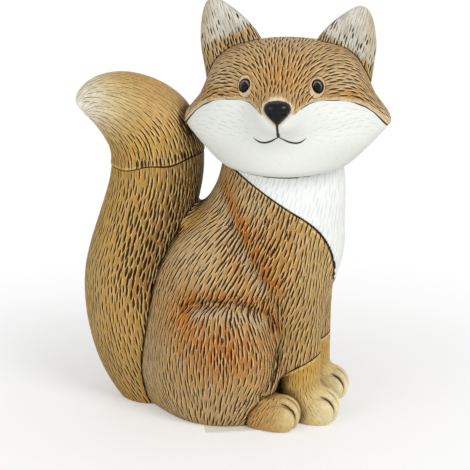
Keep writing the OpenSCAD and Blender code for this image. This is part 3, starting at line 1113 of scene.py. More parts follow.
@dataclass
class BodyForm:
    """The seated body in its own frame: x forwards, y to the left, z up."""

    height: float = 92.0
    half_length: float = 32.0
    half_width: float = 26.5
    leg_gap: float = 22.0
    leg_thickness: float = 13.5
    leg_x: float = 25.8
    stocking_z: float = 16.0
    stocking_tilt: float = 30.0
    hind_gap: float = 41.0
    opening_r: float = 11.0
    opening_depth: float = 4.7
    groove: float = 0.12
    thigh: Egg = Egg((0.5, 18.8, 20.0), (19.5, 11.2, 23.2))
    # Fills the slot between thigh and front leg
    web: Egg = Egg((18.0, 13.0, 27), (5.5, 7.5, 13.5))

    # Share of the height; then middle, half length and half width as shares
    levels: tuple[Row, ...] = (
        (0.000, -0.180, 0.67, 0.74),
        (0.030, -0.175, 0.76, 0.82),
        (0.110, -0.160, 0.85, 0.88),
        (0.185, -0.150, 0.895, 0.89),
        (0.290, -0.090, 0.925, 0.885),
        (0.410, 0.030, 0.98, 0.875),
        (0.520, 0.135, 0.985, 0.87),
        (0.620, 0.250, 0.95, 0.82),
        (0.705, 0.355, 0.845, 0.75),
        (0.770, 0.460, 0.745, 0.69),
        (0.870, 0.535, 0.665, 0.63),
        (1.000, 0.550, 0.60, 0.59),
        (1.090, 0.550, 0.54, 0.54),
    )
    # Front leg: height, step back and thickness as a share
    leg_levels: tuple[Row, ...] = (
        (1.5, 0.5, 0.95),
        (15.6, -0.2, 1.0),
        (25.8, -0.8, 1.1),
        (37.7, -2.0, 1.25),
        (48.8, -4.5, 1.3),
        (59.8, -7.5, 1.1),
    )
    # Soft hollow between haunch and shoulder, and the crease over the thigh
    divide: tuple[Row, ...] = ((-4, 77), (3, 65.7), (7, 59), (11, 52.5), (14.6, 47), (17.5, 40), (19.5, 31))
    crease: tuple[Row, ...] = (
        (-12.4, 39.3), (-7.4, 41), (-2.4, 42), (2.6, 42), (7.6, 41.6), (11.6, 40.3),
        (14.6, 38.2), (16.9, 35.2), (18.4, 31), (19, 26), (18.4, 20.5), (17, 15.5), (14.5, 11.5),
    )
    bib_middle: Row = (14.0, 52.99)
    bib_radius: float = 22.0
    bib_rise: float = 32.0
    bib_foot: float = 46.0

    @property
    def plug_shift(self) -> float:
        """How far the plug stands behind the frame's origin."""
        return 0.12 * self.half_length

    def placement(self) -> Placement:
        """Works out where the body stands, from its paws and plug.

        Returns:
            The body's frame.
        """
        across = node_middle("left_front_paw") - node_middle("right_front_paw")
        axes = turned_frame(across)
        forward, left = -axes[:, 1], axes[:, 0]
        turn = np.column_stack([forward, left, [0, 0, 1]])
        plug = node_middle("base_plug")
        plug[2] = 0
        return Placement(plug + self.plug_shift * forward, turn)

    def torso(self, x: Array, y: Array, z: Array) -> Array:
        """The bare torso."""
        rows = tuple(
            (h * self.height, m * self.half_length, 0.0, a * self.half_length, b * self.half_width, 2.1)
            for h, m, a, b in self.levels
        )
        return Loft(rows)(x, y, z)

    def legs(self, x: Array, y: Array, z: Array) -> Array:
        """Both front legs, as one field of the distance from the middle plane.

        Args:
            x, y, z: Places in this frame.

        Returns:
            The signed distance.
        """
        half = self.leg_thickness / 2
        rows = tuple(
            (h, self.leg_x + back, self.leg_gap / 2, share * half, share * half * 0.93, 2.2)
            for h, back, share in self.leg_levels
        )
        return Loft(rows)(x, np.abs(y), z)

    def thighs(self, x: Array, y: Array, z: Array) -> Array:
        """Both thighs."""
        return self.thigh(x, np.abs(y), z)

    def whole(self, x: Array, y: Array, z: Array, legs: Form | None = None) -> Array:
        """Torso, thighs and legs, joined.

        Args:
            x, y, z: Places in this frame.
            legs: A field to use for the legs, where they are cut short.

        Returns:
            The signed distance.
        """
        # The thigh stands out with a crease in front and above, and melts into the back and foot
        rear = smooth_step(-6, -20, x) + smooth_step(12, 3, z)
        form = smooth_min(self.torso(x, y, z), self.thighs(x, y, z), 1.2 + 9 * np.clip(rear, 0, 1))
        # Over the stocking line the leg melts into the thigh, so no slot is left between them
        form = smooth_min(form, (legs or self.legs)(x, y, z), 2.0 + 5 * smooth_step(19, 27, z))
        web = self.web(x, np.abs(y), z)
        form = smooth_min(form, np.maximum(web, self.groove - self.stocking(x, z)), 3.0)
        outer = smooth_step(9, 16, np.abs(y))
        hollow = 2.3 * bell(line_distance(x, z, list(self.divide)) / 3.6)
        crease = 1.8 * bell(line_distance(x, z, list(self.crease)) / 1.5)
        swell = 1.5 * bell((x - 22) / 9, (z - 54) / 16)
        swell = swell + 1.4 * bell((x + 10) / 12, (z - 55) / 12)
        return form + (hollow + crease - swell) * outer

    def coat_edge(self, x: Array, y: Array, z: Array) -> Array:
        """Distance past the coat's edge: positive in the white bib, which ends in a blunt point.

        Args:
            x, y, z: Places in this frame.

        Returns:
            The distance.
        """
        u, v = x - self.bib_middle[0], z - self.bib_middle[1]
        c, s = np.cos(np.radians(self.bib_rise)), np.sin(np.radians(self.bib_rise))
        round_edge = np.hypot(u, v) - self.bib_radius
        straight = np.maximum(c * u - s * v, s * u + c * v - self.bib_radius)
        return np.minimum(np.minimum(round_edge, straight), z - self.bib_foot - 0.35 * np.abs(y))

    def stocking(self, x: Array, z: Array) -> Array:
        """Distance above the stocking line."""
        c, s = np.cos(np.radians(self.stocking_tilt)), np.sin(np.radians(self.stocking_tilt))
        return c * (z - self.stocking_z) - s * (x - self.leg_x + self.leg_thickness / 2)


@dataclass
class PawForm:
    """A paw with three toes, set on the floor in the body's frame."""

    x: float
    y: float
    length: float
    width: float = 17.0
    height: float = 12.0

    def __call__(self, x: Array, y: Array, z: Array) -> Array:
        """Gives the signed distance of the paw, not yet cut at the floor.

        Args:
            x, y, z: Places in the body's frame.

        Returns:
            The signed distance.
        """
        half = self.length / 2
        middle = (self.x - 0.12 * half, self.y, 0.33 * self.height)
        form = Egg(middle, (half * 0.86, 0.46 * self.width, 0.66 * self.height))(x, y, z)
        for toe in (-0.36, -0.12, 0.12, 0.36):
            middle = (
                self.x + half - 6.2 - 9.0 * toe**2,
                self.y + toe * 0.95 * self.width,
                0.37 * self.height - 5.0 * toe**2,
            )
            toe_form = Egg(middle, (6.2, 0.155 * self.width, (0.55 - 0.9 * toe**2) * self.height), 8)
            form = smooth_min(form, toe_form(x, y, z), 0.6)
        return form


@dataclass
class HeadForm:
    """The head in its own frame: x to the left, y backwards, z up."""

    width: float = 68.0
    height: float = 43.0
    depth: float = 43.0
    eye_x: float = 11.75
    eye_y: float = -18.49
    eye_z: float = 30.315
    nose_z: float = 24.4

    # Height, middle depth, half width, half depth as shares, and roundness
    levels: tuple[Row, ...] = (
        (0.000, -0.31, 0.13, 0.12, 2.0),
        (0.030, -0.29, 0.38, 0.22, 2.0),
        (0.080, -0.25, 0.60, 0.31, 2.1),
        (0.190, -0.17, 0.78, 0.41, 2.1),
        (0.300, -0.13, 0.92, 0.46, 1.9),
        (0.380, -0.11, 1.00, 0.475, 1.7),
        (0.460, -0.09, 0.97, 0.49, 1.8),
        (0.580, -0.06, 0.845, 0.49, 2.1),
        (0.730, -0.04, 0.76, 0.455, 2.3),
        (0.860, -0.03, 0.66, 0.37, 2.3),
        (0.950, -0.03, 0.46, 0.24, 2.2),
        (1.000, -0.03, 0.16, 0.08, 2.0),
    )
    # Muzzle: depth, height, half width and half height
    muzzle: tuple[Row, ...] = (
        (-10.8, 20.0, 14.5, 12.5),
        (-19.8, 21.4, 12.0, 10.6),
        (-26.8, 22.8, 8.6, 7.6),
        (-30.4, 23.4, 6.2, 5.6),
        (-31.8, 23.6, 3.0, 2.8),
    )
    # Edge of the white mask from the nose to the cheek tip
    mask: tuple[Row, ...] = (
        (3.4, 20.4), (4.6, 22.4), (5.7, 24.2), (7.4, 25.7), (9.6, 26.5), (12.0, 26.8), (15.8, 26.7),
        (19.0, 26.3), (22.8, 25.2), (26.5, 23.2), (29.3, 20.9), (31.5, 18.4), (33.4, 15.8),
    )
    step: float = 0.35

    def placement(self) -> Placement:
        """Works out where the head stands, from its eyes.

        Returns:
            The head's frame.
        """
        right, left = node_middle("right_eye"), node_middle("left_eye")
        turn = turned_frame(left - right)
        middle = (right + left) / 2
        return Placement(middle - turn @ np.array([0, self.eye_y, self.eye_z]), turn)

    def skull(self, x: Array, y: Array, z: Array) -> Array:
        """Head and muzzle, joined.

        Args:
            x, y, z: Places in this frame.

        Returns:
            The signed distance.
        """
        half = self.width / 2
        rows = tuple(
            (h * self.height, 0.0, m * self.depth, a * half, b * self.depth, p)
            for h, m, a, b, p in self.levels
        )
        head = Loft(rows, 2.5)(x, y, z)
        tube = Loft(tuple((-d, 0.0, h, a, b, 2.1) for d, h, a, b in self.muzzle), 1.5)(x, z, -y)
        return smooth_min(head, tube, 5.0)

    def above_mask(self, x: Array, y: Array, z: Array) -> Array:
        """Distance above the mask's edge: negative on the white of the face.

        Args:
            x, y, z: Places in this frame.

        Returns:
            The distance.
        """
        side = np.abs(x)
        line = np.array(self.mask)
        edge = np.interp(side, line[:, 0], line[:, 1])
        # Behind the cheek tips the edge runs down under the head
        edge = edge - 1.1 * np.maximum(y + 5, 0)
        sign = np.where(z > edge, 1.0, -1.0)
        front = line_distance(side, z, list(self.mask))
        behind = np.abs(z - edge) * 0.67
        return sign * np.where(y < -5, front, behind)

    def brow_step(self, x: Array, y: Array, z: Array) -> Array:
        """Height by which the brown brow stands over the white face."""
        away = smooth_step(4.6, 7.0, np.hypot(x, z - self.nose_z) + 0 * y)
        return self.step * (smooth_step(-0.35, 0.35, self.above_mask(x, y, z)) - 1) * away


@dataclass
class TailForm:
    """The tail in the row frame, moved so that its own plane is y = 0."""

    reach: float = 27.7
    height: float = 105.0
    thickness: float = 31.0
    ring_tilt: float = 9.0
    ring_radius: float = 15.6
    # Height of the ring, which placement reads from its pin
    ring_z: float = field(default=0.0, init=False)

    # Reach behind the root, height and thickness as shares
    stations: tuple[Row, ...] = (
        (0.00, -0.02, 0.66),
        (0.14, 0.060, 0.88),
        (0.30, 0.160, 1.00),
        (0.40, 0.285, 1.06),
        (0.41, 0.420, 1.07),
        (0.28, 0.555, 1.05),
        (0.15, 0.690, 1.00),
        (0.09, 0.800, 1.01),
        (0.17, 0.900, 0.98),
        (0.47, 0.972, 0.76),
        (0.75, 0.997, 0.50),
        (0.95, 0.995, 0.22),
        (1.00, 0.985, 0.06),
    )

    @property
    def pin_shift(self) -> float:
        """How far the ring's pin stands behind the root."""
        return 0.1 * self.reach

    def placement(self) -> Placement:
        """Works out the tail's frame: level with the row frame, its root at x = 0."""
        pin = node_middle("tail_ring_pin")
        self.ring_z = float(pin[2])
        return Placement(np.array([pin[0] + self.pin_shift, pin[1], 0.0]), np.eye(3))

    def skin(self, x: Array, y: Array, z: Array) -> Array:
        """The whole tail."""
        rows = tuple((-a * self.reach, b * self.height, c * self.thickness / 2) for a, b, c in self.stations)
        return SpineTube(rows)(x, y, z)

    def lie(self, points: Array, normals: Array) -> Array:
        """Gives the direction of the fur, which follows the spine down to the root.

        Args:
            points: Places on the skin.
            normals: The skin's normals there.

        Returns:
            Unit directions along the skin.
        """
        rows = refine(np.array([(-a * self.reach, b * self.height) for a, b, _ in self.stations]), 2)
        legs = rows[:-1] - rows[1:]
        legs /= np.linalg.norm(legs, axis=1, keepdims=True)
        middles = (rows[1:] + rows[:-1]) / 2
        away = (points[:, :1] - middles[:, 0]) ** 2 + (points[:, 2:] - middles[:, 1]) ** 2
        level = (1 / (away + 9.0) ** 3) @ legs
        flow = np.column_stack([level[:, 0], np.zeros(len(points)), level[:, 1]])
        return lay_along(flow, normals)

    def above_ring(self, x: Array, z: Array) -> Array:
        """Distance above the ring line, which waves a little.

        Args:
            x, z: Places in the tail's own plane.

        Returns:
            The distance.
        """
        c, s = np.cos(np.radians(self.ring_tilt)), np.sin(np.radians(self.ring_tilt))
        wave = 0.5 * np.sin(0.42 * x + 0.6)
        return c * (z - self.ring_z) - s * (x + self.pin_shift) + wave


# The figurine's sub-assemblies


@dataclass
class Body:
    """Body casting, white bib and four paws."""

    form: BodyForm
    head: HeadForm
    tail: TailForm
    crowd: Crowd
    voxel: float = 0.508
    bib_voxel: float = 0.4
    paw_voxel: float = 0.26
    # Levels under which the head and the tail leave the body's shape as it is
    head_level: float = 74.0
    tail_level: float = 56.0
    coat_colour: str = "#b08c58"
    bib_colour: str = "#eaecea"
    stocking_colour: str = "#c9ae72"
    foot_colour: str = "#b7935a"
    fur: Fur = Fur(length=4.8, width=0.58, beside=1.15, ahead=3.3, depth=0.14, seed=11)
    down: Fur = Fur(length=3.4, width=0.2, beside=0.85, ahead=2.6, depth=0.02, channels=DOWN, seed=12)
    bib_fur: Fur = Fur(length=5.0, width=0.42, beside=1.3, ahead=4.0, depth=0.07, channels=DOWN, seed=13)
    paw_fur: Fur = Fur(length=2.6, width=0.34, beside=1.0, ahead=2.4, depth=0.08, seed=14)

    flow: Flow = Flow(
        (
            (-8, 20, 70, -0.7, 0, -0.7), (-16, 18, 62, -0.65, 0, -0.75), (-24, 14, 54, -0.4, 0, -0.9),
            (-28, 8, 40, 0, 0, -1), (-28, 10, 20, 0.15, 0, -1), (-24, 14, 8, 0.4, 0, -0.9),
            (-14, 22, 48, -0.45, 0, -0.88), (-4, 23, 55, -0.5, 0, -0.85), (4, 22, 52, -0.5, 0, -0.86),
            (0, 26, 44, -0.4, 0, -0.9), (10, 22, 45, -0.5, 0, -0.86), (-10, 24, 36, -0.2, 0, -1),
            (-18, 22, 25, 0.1, 0, -1), (-10, 24, 12, 0.15, 0, -1), (0, 27, 36, 0.05, 0, -1),
            (8, 27, 36, 0.25, 0, -0.97), (15, 24, 31, 0.25, 0, -0.97), (17, 23, 22, -0.1, 0, -1),
            (13, 25, 13, -0.45, 0, -0.9), (3, 28, 24, 0.02, 0, -1), (2, 26, 8, -0.2, 0, -1),
            (12, 22, 5, -0.5, 0, -0.86), (0, 14, 84, -0.4, 0, -0.9), (6, 16, 76, -0.3, 0, -0.95),
            (16, 18, 72, -0.25, 0, -0.97), (26, 16, 64, -0.35, 0, -0.94), (22, 20, 54, -0.4, 0, -0.92),
            (31, 14, 52, -0.3, 0, -0.95), (26, 18, 38, -0.4, 0, -0.92), (30, 14, 28, -0.25, 0, -0.97),
            (-10, 2, 74, -0.7, 0, -0.7), (-30, 0, 40, 0, 0, -1), (-26, 0, 8, 0.4, 0, -0.9),
            (32, 0, 40, 0, 0, -1), (24, 18, 18, -0.1, 0, -1), (36, 10, 8, 0.8, 0, -0.5),
        ),
        1,
        (1.0, 0.6, 1.0),
    )

    def zones(self) -> list[Zone]:
        """Paint of the coat, on the near side; the far side is painted alike."""
        return [
            Zone((-10, 20, 60), (13, 30, 13), "#b39a74", 0.9),
            Zone((-26, 10, 22), (9, 30, 24), "#ac9674", 0.85),
            Zone((-2, 26, 8), (18, 20, 8), "#ae9168", 0.8),
            Zone((-11, 24, 37), (8, 20, 9), "#aa6214", 0.94),
            Zone((3, 27, 27), (13, 14, 9), "#a25a18", 0.94),
            Zone((14.5, 24, 41.5), (5, 14, 3.5), "#a9661c", 0.88),
            Zone((8.5, 20, 62), (5.5, 20, 13), "#a45c12", 0.95),
            Zone((17, 20, 58), (8, 20, 14), "#a16a1e", 0.9),
            Zone((26, 18, 36), (7, 16, 10), "#a5824c", 0.75),
            Zone((31, 14, 56), (5.5, 14, 12), "#b79b62", 0.85),
            Zone((10, 18, 76), (7, 20, 6), "#b09a74", 0.8),
            Zone((-14, 16, 67), (5, 20, 5), "#a87c30", 0.6),
            Zone((-28.5, 14, 44), (2.6, 20, 16), "#b08236", 0.8),
            Zone((3, 14, 86), (10, 20, 4), "#8f744a", 0.6),
        ]

    def bands(self) -> list[Band]:
        """Stripes of paint: the haunch's edge, the crease over the thigh with a pale stripe of painted
        light on the thigh's top under it, and the tail's groove.

        Returns:
            The stripes.
        """
        divide = self.form.divide[:5]
        ahead = tuple((a + 4.2, b + 1.5) for a, b in divide)
        over = tuple((a, b + 2.8) for a, b in self.form.crease[:9])
        under = tuple((a, b - 2.6) for a, b in self.form.crease[1:7])
        groove = ((-9, 69), (-17, 61), (-23, 53), (-26.5, 43), (-27.5, 33))
        return [
            Band(ahead, 2.8, "#a25810", 0.85),
            Band(divide, 2.0, "#ab9878", 0.75),
            Band(over, 2.1, "#a25c14", 0.85),
            # Painted light: the pale stripe under the crease, where the thigh's top catches the light
            Band(under, 1.7, "#baa486", 0.75),
            Band(groove, 1.5, "#b98a38", 0.7),
        ]

    def reach(self) -> tuple[Row, Row]:
        """Corners of the space that the body fills."""
        return (-34.0, -30.0, 0.0), (40.0, 30.0, 101.0)

    def build(self) -> None:
        """Builds the casting, the bib and the paws."""
        form, where = self.form, self.form.placement()
        head_here = self.head.placement().seen_from(where, self.head.skull)
        finish = PaintedResin("washed_resin_coat").build()
        paws = [self.hind_paw(side) for side in Side]
        joined = self.join(head_here, where)

        def upper_legs(x: Array, y: Array, z: Array) -> Array:
            """The legs over the stocking line."""
            return np.maximum(form.legs(x, y, z), form.groove - form.stocking(x, z))

        def casting(x: Array, y: Array, z: Array) -> Array:
            """The brown casting with its cuts.

            Args:
                x, y, z: Places in the body's frame.

            Returns:
                The signed distance.
            """
            whole = joined(x, y, z, upper_legs)
            edge = form.coat_edge(x, y, z)
            lip = 0.3 * bell(edge / 1.0) * smooth_step(30, 44, z)
            solid = np.maximum(whole - lip, edge + 0.5 * form.groove)
            for paw in paws:
                solid = np.maximum(solid, form.groove - paw(x, y, z))
            solid = np.maximum(solid, 0.1 - z)
            opening = np.hypot(x + form.plug_shift, y) - form.opening_r
            solid = np.maximum(solid, -np.maximum(opening, z - form.opening_depth))
            return np.maximum(solid, form.groove - from_level(head_here, self.head_level, x, y, z))

        sculpt = Sculpt("painted_body", casting, *self.reach(), self.voxel)
        flow = self.flow.at(sculpt.points, sculpt.normals)
        x, y, z = sculpt.points.T
        outside = smooth_step(-0.5, 0.0, form.whole(x, y, z, upper_legs) + 0.4)
        outside *= smooth_step(0.3, 1.5, z)
        bold = outside * (0.8 + 0.35 * bell((x - 12) / 14, (z - 56) / 18))
        bold *= 1 - 0.35 * bell((x + 26) / 7, (z - 20) / 18)
        bold += 0.25 * outside * bell((x - 2) / 12, (z - 34) / 9)
        count = self.fur.cut(sculpt, flow, bold)
        count += self.down.cut(sculpt, flow, outside)
        log.info("body strokes: %d", count)
        shown = sculpt.points.copy()
        shown[:, 1] = np.abs(shown[:, 1])
        coat = paint_zones(shown, self.coat_colour, self.zones())
        sculpt.channels["coat"] = coat
        for band in self.bands():
            band.cover(coat, x, z)
        edge = form.coat_edge(x, y, z)
        low_end = 9.0 * (z < form.bib_foot + 1)
        sculpt.line_field("seam", edge + 0.5 * form.groove, 0.08, low_end)
        sculpt.line_field("ridge", edge + 0.7, 0.28, low_end)
        sculpt.shade(where, self.crowd)
        place_piece(sculpt, where, finish, "body_casting")
        self.build_bib(where, head_here, joined)
        for side in Side:
            self.build_front_paw(side, where)
            self.build_hind_paw(side, where)

    def join(self, head_here: Form, where: Placement) -> Form:
        """Gives the body with soft fillets to the chin and, at the back, to the tail.

        Args:
            head_here: The skull in the body's frame.
            where: The body's frame.

        Returns:
            The field, which takes the same values as the body's own.
        """
        tail_here = self.tail.placement().seen_from(where, self.tail.skin)

        def joined(x: Array, y: Array, z: Array, legs: Form | None = None) -> Array:
            """The body and its fillets; the one to the tail fades out under the back.

            Args:
                x, y, z: Places in the body's frame.
                legs: A field to use for the legs, where they are cut short.

            Returns:
                The signed distance.
            """
            whole = self.form.whole(x, y, z, legs)
            tail = from_level(tail_here, self.tail_level, x, y, z)
            fillet = smooth_min(whole, tail + 0.5 + 9 * smooth_step(66, 57, z), 6.5)
            whole = np.minimum(whole, np.maximum(fillet, self.form.groove - tail))
            return smooth_min(whole, from_level(head_here, self.head_level, x, y, z) + 0.5, 4.0)

        return joined

    def front_paw(self, side: Side) -> PawForm:
        """A front paw."""
        return PawForm(self.form.leg_x + 4.4, side.value * self.form.leg_gap / 2, 18.0, 15.8)

    def hind_paw(self, side: Side) -> PawForm:
        """A hind paw."""
        return PawForm(17.7, side.value * (self.form.hind_gap / 2 - 0.6), 19.6, 15.2, 11.6)

    def build_bib(self, where: Placement, head_here: Form, joined: Form) -> None:
        """Builds the white bib.

        Args:
            where: The body's frame.
            head_here: The skull in that frame.
            joined: The body with its fillets.
        """
        form = self.form

        def bib(x: Array, y: Array, z: Array) -> Array:
            """The part of the torso in front of the coat, sunk a little.

            Args:
                x, y, z: Places in the body's frame.

            Returns:
                The signed distance.
            """
            sunk = 0.25 - 0.35 * smooth_step(58, 50, z)
            solid = smooth_max(joined(x, y, z) + sunk, 0.5 * form.groove - form.coat_edge(x, y, z), 0.3)
            return np.maximum(solid, 0.4 * form.groove - from_level(head_here, self.head_level, x, y, z))

        sculpt = Sculpt("white_bib", bib, (-8, -24, 40), (38, 24, 101), self.bib_voxel)
        flow = self.flow.at(sculpt.points, sculpt.normals)
        self.bib_fur.cut(sculpt, flow, np.ones(len(sculpt.points)))
        sculpt.channels["coat"] = paint_zones(sculpt.points, self.bib_colour, [])
        sculpt.shade(where, self.crowd)
        place_piece(sculpt, where, CHALK_BIB.build(), "chest_bib")

    def build_front_paw(self, side: Side, where: Placement) -> None:
        """Builds a lower front leg with its paw.

        Args:
            side: The paw's side.
            where: The body's frame.
        """
        form = self.form
        paw = self.front_paw(side)

        def stocking(x: Array, y: Array, z: Array) -> Array:
            """Leg and paw under the stocking line.

            Args:
                x, y, z: Places in the body's frame.

            Returns:
                The signed distance.
            """
            leg = form.legs(x, np.abs(y) * (np.sign(y) * side.value), z)
            solid = smooth_min(leg, paw(x, y, z), 2.2)
            solid = np.maximum(solid, form.stocking(x, z) + 0.02)
            rest = np.minimum(form.torso(x, y, z), form.thighs(x, y, z))
            return np.maximum(np.maximum(solid, form.groove - rest), 0.03 - z)

        middle = side.value * form.leg_gap / 2
        low, high = (16, middle - 10, 0), (42, middle + 10, 30)
        sculpt = Sculpt(f"{side.word}_front_stocking", stocking, low, high, self.paw_voxel)
        flow = self.flow.at(sculpt.points, sculpt.normals)
        x, _, z = sculpt.points.T
        bold = smooth_step(36, 28, x) * smooth_step(1, 3, z) * 0.8
        self.paw_fur.cut(sculpt, flow, bold)
        self.line_toes(sculpt, paw)
        zones = [
            Zone((26, middle, 18), (9, 12, 10), "#b4831f", 0.95),
            Zone((38, middle, 4), (7.5, 12, 8), "#ebdfb6", 0.95),
            Zone((22, middle, 4), (5, 12, 6), "#a07c42", 0.8),
        ]
        sculpt.channels["coat"] = paint_zones(sculpt.points, self.stocking_colour, zones)
        above = form.stocking(*sculpt.points[:, [0, 2]].T)
        sculpt.line_field("seam", above, 0.22)
        sculpt.line_field("ridge", above + 0.8, 0.25)
        sculpt.shade(where, self.crowd)
        finish = PaintedResin(f"{side.word}_stocking_paint", wash_strength=0.7, shade_and_wash_strength=0.6).build()
        place_piece(sculpt, where, finish, f"{side.word}_front_paw")

    def build_hind_paw(self, side: Side, where: Placement) -> None:
        """Builds a hind paw.

        Args:
            side: The paw's side.
            where: The body's frame.
        """
        form = self.form
        paw = self.hind_paw(side)

        def foot(x: Array, y: Array, z: Array) -> Array:
            """The paw, flat on the floor and clear of the label."""
            return np.maximum(paw(x, y, z), 0.3 - z)

        middle = side.value * form.hind_gap / 2
        low, high = (5, middle - 10, 0), (31, middle + 10, 13)
        sculpt = Sculpt(f"{side.word}_hind_foot", foot, low, high, self.paw_voxel)
        flow = self.flow.at(sculpt.points, sculpt.normals)
        x, _, z = sculpt.points.T
        self.paw_fur.cut(sculpt, flow, smooth_step(24, 17, x) * smooth_step(1, 3, z))
        self.line_toes(sculpt, paw)
        zones = [
            Zone((11, middle, 8), (9, 12, 9), "#a57a3c", 0.95),
            Zone((26, middle, 5), (5, 12, 8), "#dfcb96", 0.9),
        ]
        sculpt.channels["coat"] = paint_zones(sculpt.points, self.foot_colour, zones)
        sculpt.shade(where, self.crowd)
        finish = PaintedResin(f"{side.word}_foot_paint", wash_strength=0.8, shade_and_wash_strength=0.65).build()
        place_piece(sculpt, where, finish, f"{side.word}_hind_paw")

    def line_toes(self, sculpt: Sculpt, paw: PawForm) -> None:
        """Cuts the dark grooves between the toes.

        Args:
            sculpt: The paw's mesh.
            paw: Its form.
        """
        for gap in (-0.24, 0.0, 0.24):
            front = paw.x + paw.length / 2 - 7.5 - 7.0 * gap**2
            rows = [
                (front + 7.0 * np.sin(t), paw.y + gap * 0.95 * paw.width, 3.0 + 6.4 * np.cos(t))
                for t in np.linspace(0.25, 1.4, 9)
            ]
            line = np.array([sculpt.points[sculpt.tree.find(row)[1]] for row in rows])
            sculpt.ink("seam", line, 0.22, 0.8, 0.45)
        sculpt.settle_relief()


@dataclass
class Head:
    """Head casting with its painted face, ears, eyes and nose."""

    form: HeadForm
    crowd: Crowd
    voxel: float = 0.36
    ear_voxel: float = 0.27
    bead_voxel: float = 0.12
    nose_voxel: float = 0.16
    bead_half: Row = (1.8, 1.55, 2.4)
    pit_half: Row = (1.95, 1.7, 2.55)
    rim_half: Row = (2.25, 2.85)
    coat_colour: str = "#ae8e62"
    chalk_colour: str = "#e3e5e0"
    nose_ring_colour: str = "#ddd3b6"
    eye_rim_colour: str = "#d3be98"
    ear_root_colour: str = "#b08c52"
    ear_tip_colour: str = "#c8c4b6"
    ear_width: float = 22.0
    ear_thickness: float = 11.0
    ear_heights: dict[Side, float] = field(default_factory=lambda: {Side.RIGHT: 28.0, Side.LEFT: 25.5})
    ear_root: Row = (16.15, 2.0, 27.5)
    # Height of the brown root at its inner end, and its fall outwards
    ear_border: dict[Side, float] = field(default_factory=lambda: {Side.RIGHT: 46.6, Side.LEFT: 44.2})
    ear_slope: dict[Side, float] = field(default_factory=lambda: {Side.RIGHT: 0.42, Side.LEFT: 0.66})
    fur: Fur = Fur(length=3.7, width=0.48, beside=1.05, ahead=2.7, depth=0.12, seed=21)
    down: Fur = Fur(length=2.6, width=0.2, beside=0.75, ahead=2.2, depth=0.02, channels=DOWN, seed=22)
    cheek_fur: Fur = Fur(length=3.4, width=0.3, beside=1.3, ahead=3.0, depth=0.04, channels=DOWN, seed=24)
    ear_fur: Fur = Fur(length=2.8, width=0.5, beside=0.85, ahead=2.2, depth=0.1, seed=23)
    ear_down: Fur = Fur(length=4.5, width=0.22, beside=0.9, ahead=3.4, depth=0.02, channels=DOWN, seed=25)
    # Nose: height, half width and half depth
    nose_levels: tuple[Row, ...] = (
        (20.9, 0.3, 0.6), (21.5, 0.95, 1.3), (22.5, 1.95, 1.9), (23.5, 2.95, 2.3), (24.6, 3.75, 2.6),
        (25.6, 4.1, 2.75), (26.6, 4.0, 2.6), (27.4, 3.5, 2.1), (27.9, 2.7, 1.5), (28.2, 1.6, 0.8),
    )
    # Ear: height, lean, half width and half thickness as shares
    ear_levels: tuple[Row, ...] = (
        (-0.10, 0.00, 0.49, 0.50),
        (0.00, 0.00, 0.50, 0.50),
        (0.22, 0.03, 0.50, 0.46),
        (0.45, 0.08, 0.48, 0.39),
        (0.65, 0.14, 0.40, 0.31),
        (0.82, 0.21, 0.28, 0.23),
        (0.94, 0.27, 0.15, 0.15),
        (1.00, 0.29, 0.05, 0.06),
    )
    flow: Flow = Flow(
        (
            (0, -24, 29, 0, 0.2, 1), (0, -21, 35, 0, 0.4, 1), (0, -12, 41, 0, 1, 0.5), (0, 0, 43, 0, 1, 0),
            (0, 16, 34, 0, 0.5, -1), (0, 19, 20, 0, 0, -1), (5, -24, 29, 0.4, 0.1, 0.9),
            (7, -20, 36, 0.35, 0.3, 0.9), (10, -10, 41, 0.5, 0.8, 0.3), (12, -20, 34, 0.75, 0.2, 0.6),
            (16, -17, 37, 0.85, 0.3, 0.35), (8, -22, 30, 0.6, 0.1, 0.75), (21, -16, 33, 1, 0.2, -0.05),
            (22, -10, 37, 0.9, 0.4, -0.15), (17, -19, 29, 1, 0.1, 0.0), (12, -21, 28, 0.9, 0.1, 0.3),
            (25, -14, 27, 0.95, 0.2, -0.3), (30, -8, 22, 0.75, 0.3, -0.6), (26, -5, 31, 0.7, 0.4, -0.6),
            (28, 8, 26, 0.2, 0.7, -0.7), (20, 16, 22, 0.1, 0.4, -0.9), (28, 4, 18, 0.1, 0.6, -0.8),
            (8, -27, 25, 0.7, 0, 0.6), (15, -22, 20, 1, 0.1, 0.2), (22, -16, 18, 1, 0.2, 0.2),
            (10, -24, 10, 0.6, 0.2, -0.5), (0, -20, 4, 0, 0.5, -0.8),
        ),
        0,
    )

    def zones(self) -> list[Zone]:
        """Paint of the brow, the cheeks and the back of the head."""
        return [
            Zone((0, -16, 44), (22, 30, 6), "#b99e76", 0.7),
            Zone((0, -22, 34), (9, 14, 9.5), "#b68044", 0.85),
            Zone((22, -16, 33), (8, 16, 7), "#b49e7c", 0.8),
            Zone((22, -16, 27.5), (8, 14, 2.2), "#a5773a", 0.8),
            Zone((12, -20, 28.4), (4, 14, 1.8), "#a5773a", 0.7),
            Zone((33, -6, 18.5), (4.0, 12, 4.0), "#cfbb98", 0.95),
            Zone((0, -30, 28), (5, 6, 2.6), "#c0a27a", 0.8),
        ]

    def surface(self, x: float, z: float) -> Array:
        """Finds the face's surface in front of a place, in the head's frame.

        Args:
            x, z: The place in the front view.

        Returns:
            The point on the surface.
        """
        depth = np.arange(-40.0, 0.0, 0.1)
        inside = self.form.skull(np.full_like(depth, x), depth, np.full_like(depth, z)) < 0
        return np.array([x, depth[np.argmax(inside)], z])

    def drawn(self, points: list[Row]) -> Array:
        """Lays a line of places from the front view on the face."""
        return np.array([self.surface(x, z) for x, z in refine(np.array(points, float), 2)])

    def socket(self, side: Side) -> Array:
        """Middle of an eye on the face."""
        return self.surface(side.value * (self.form.eye_x - 0.2), self.form.eye_z + 0.4)

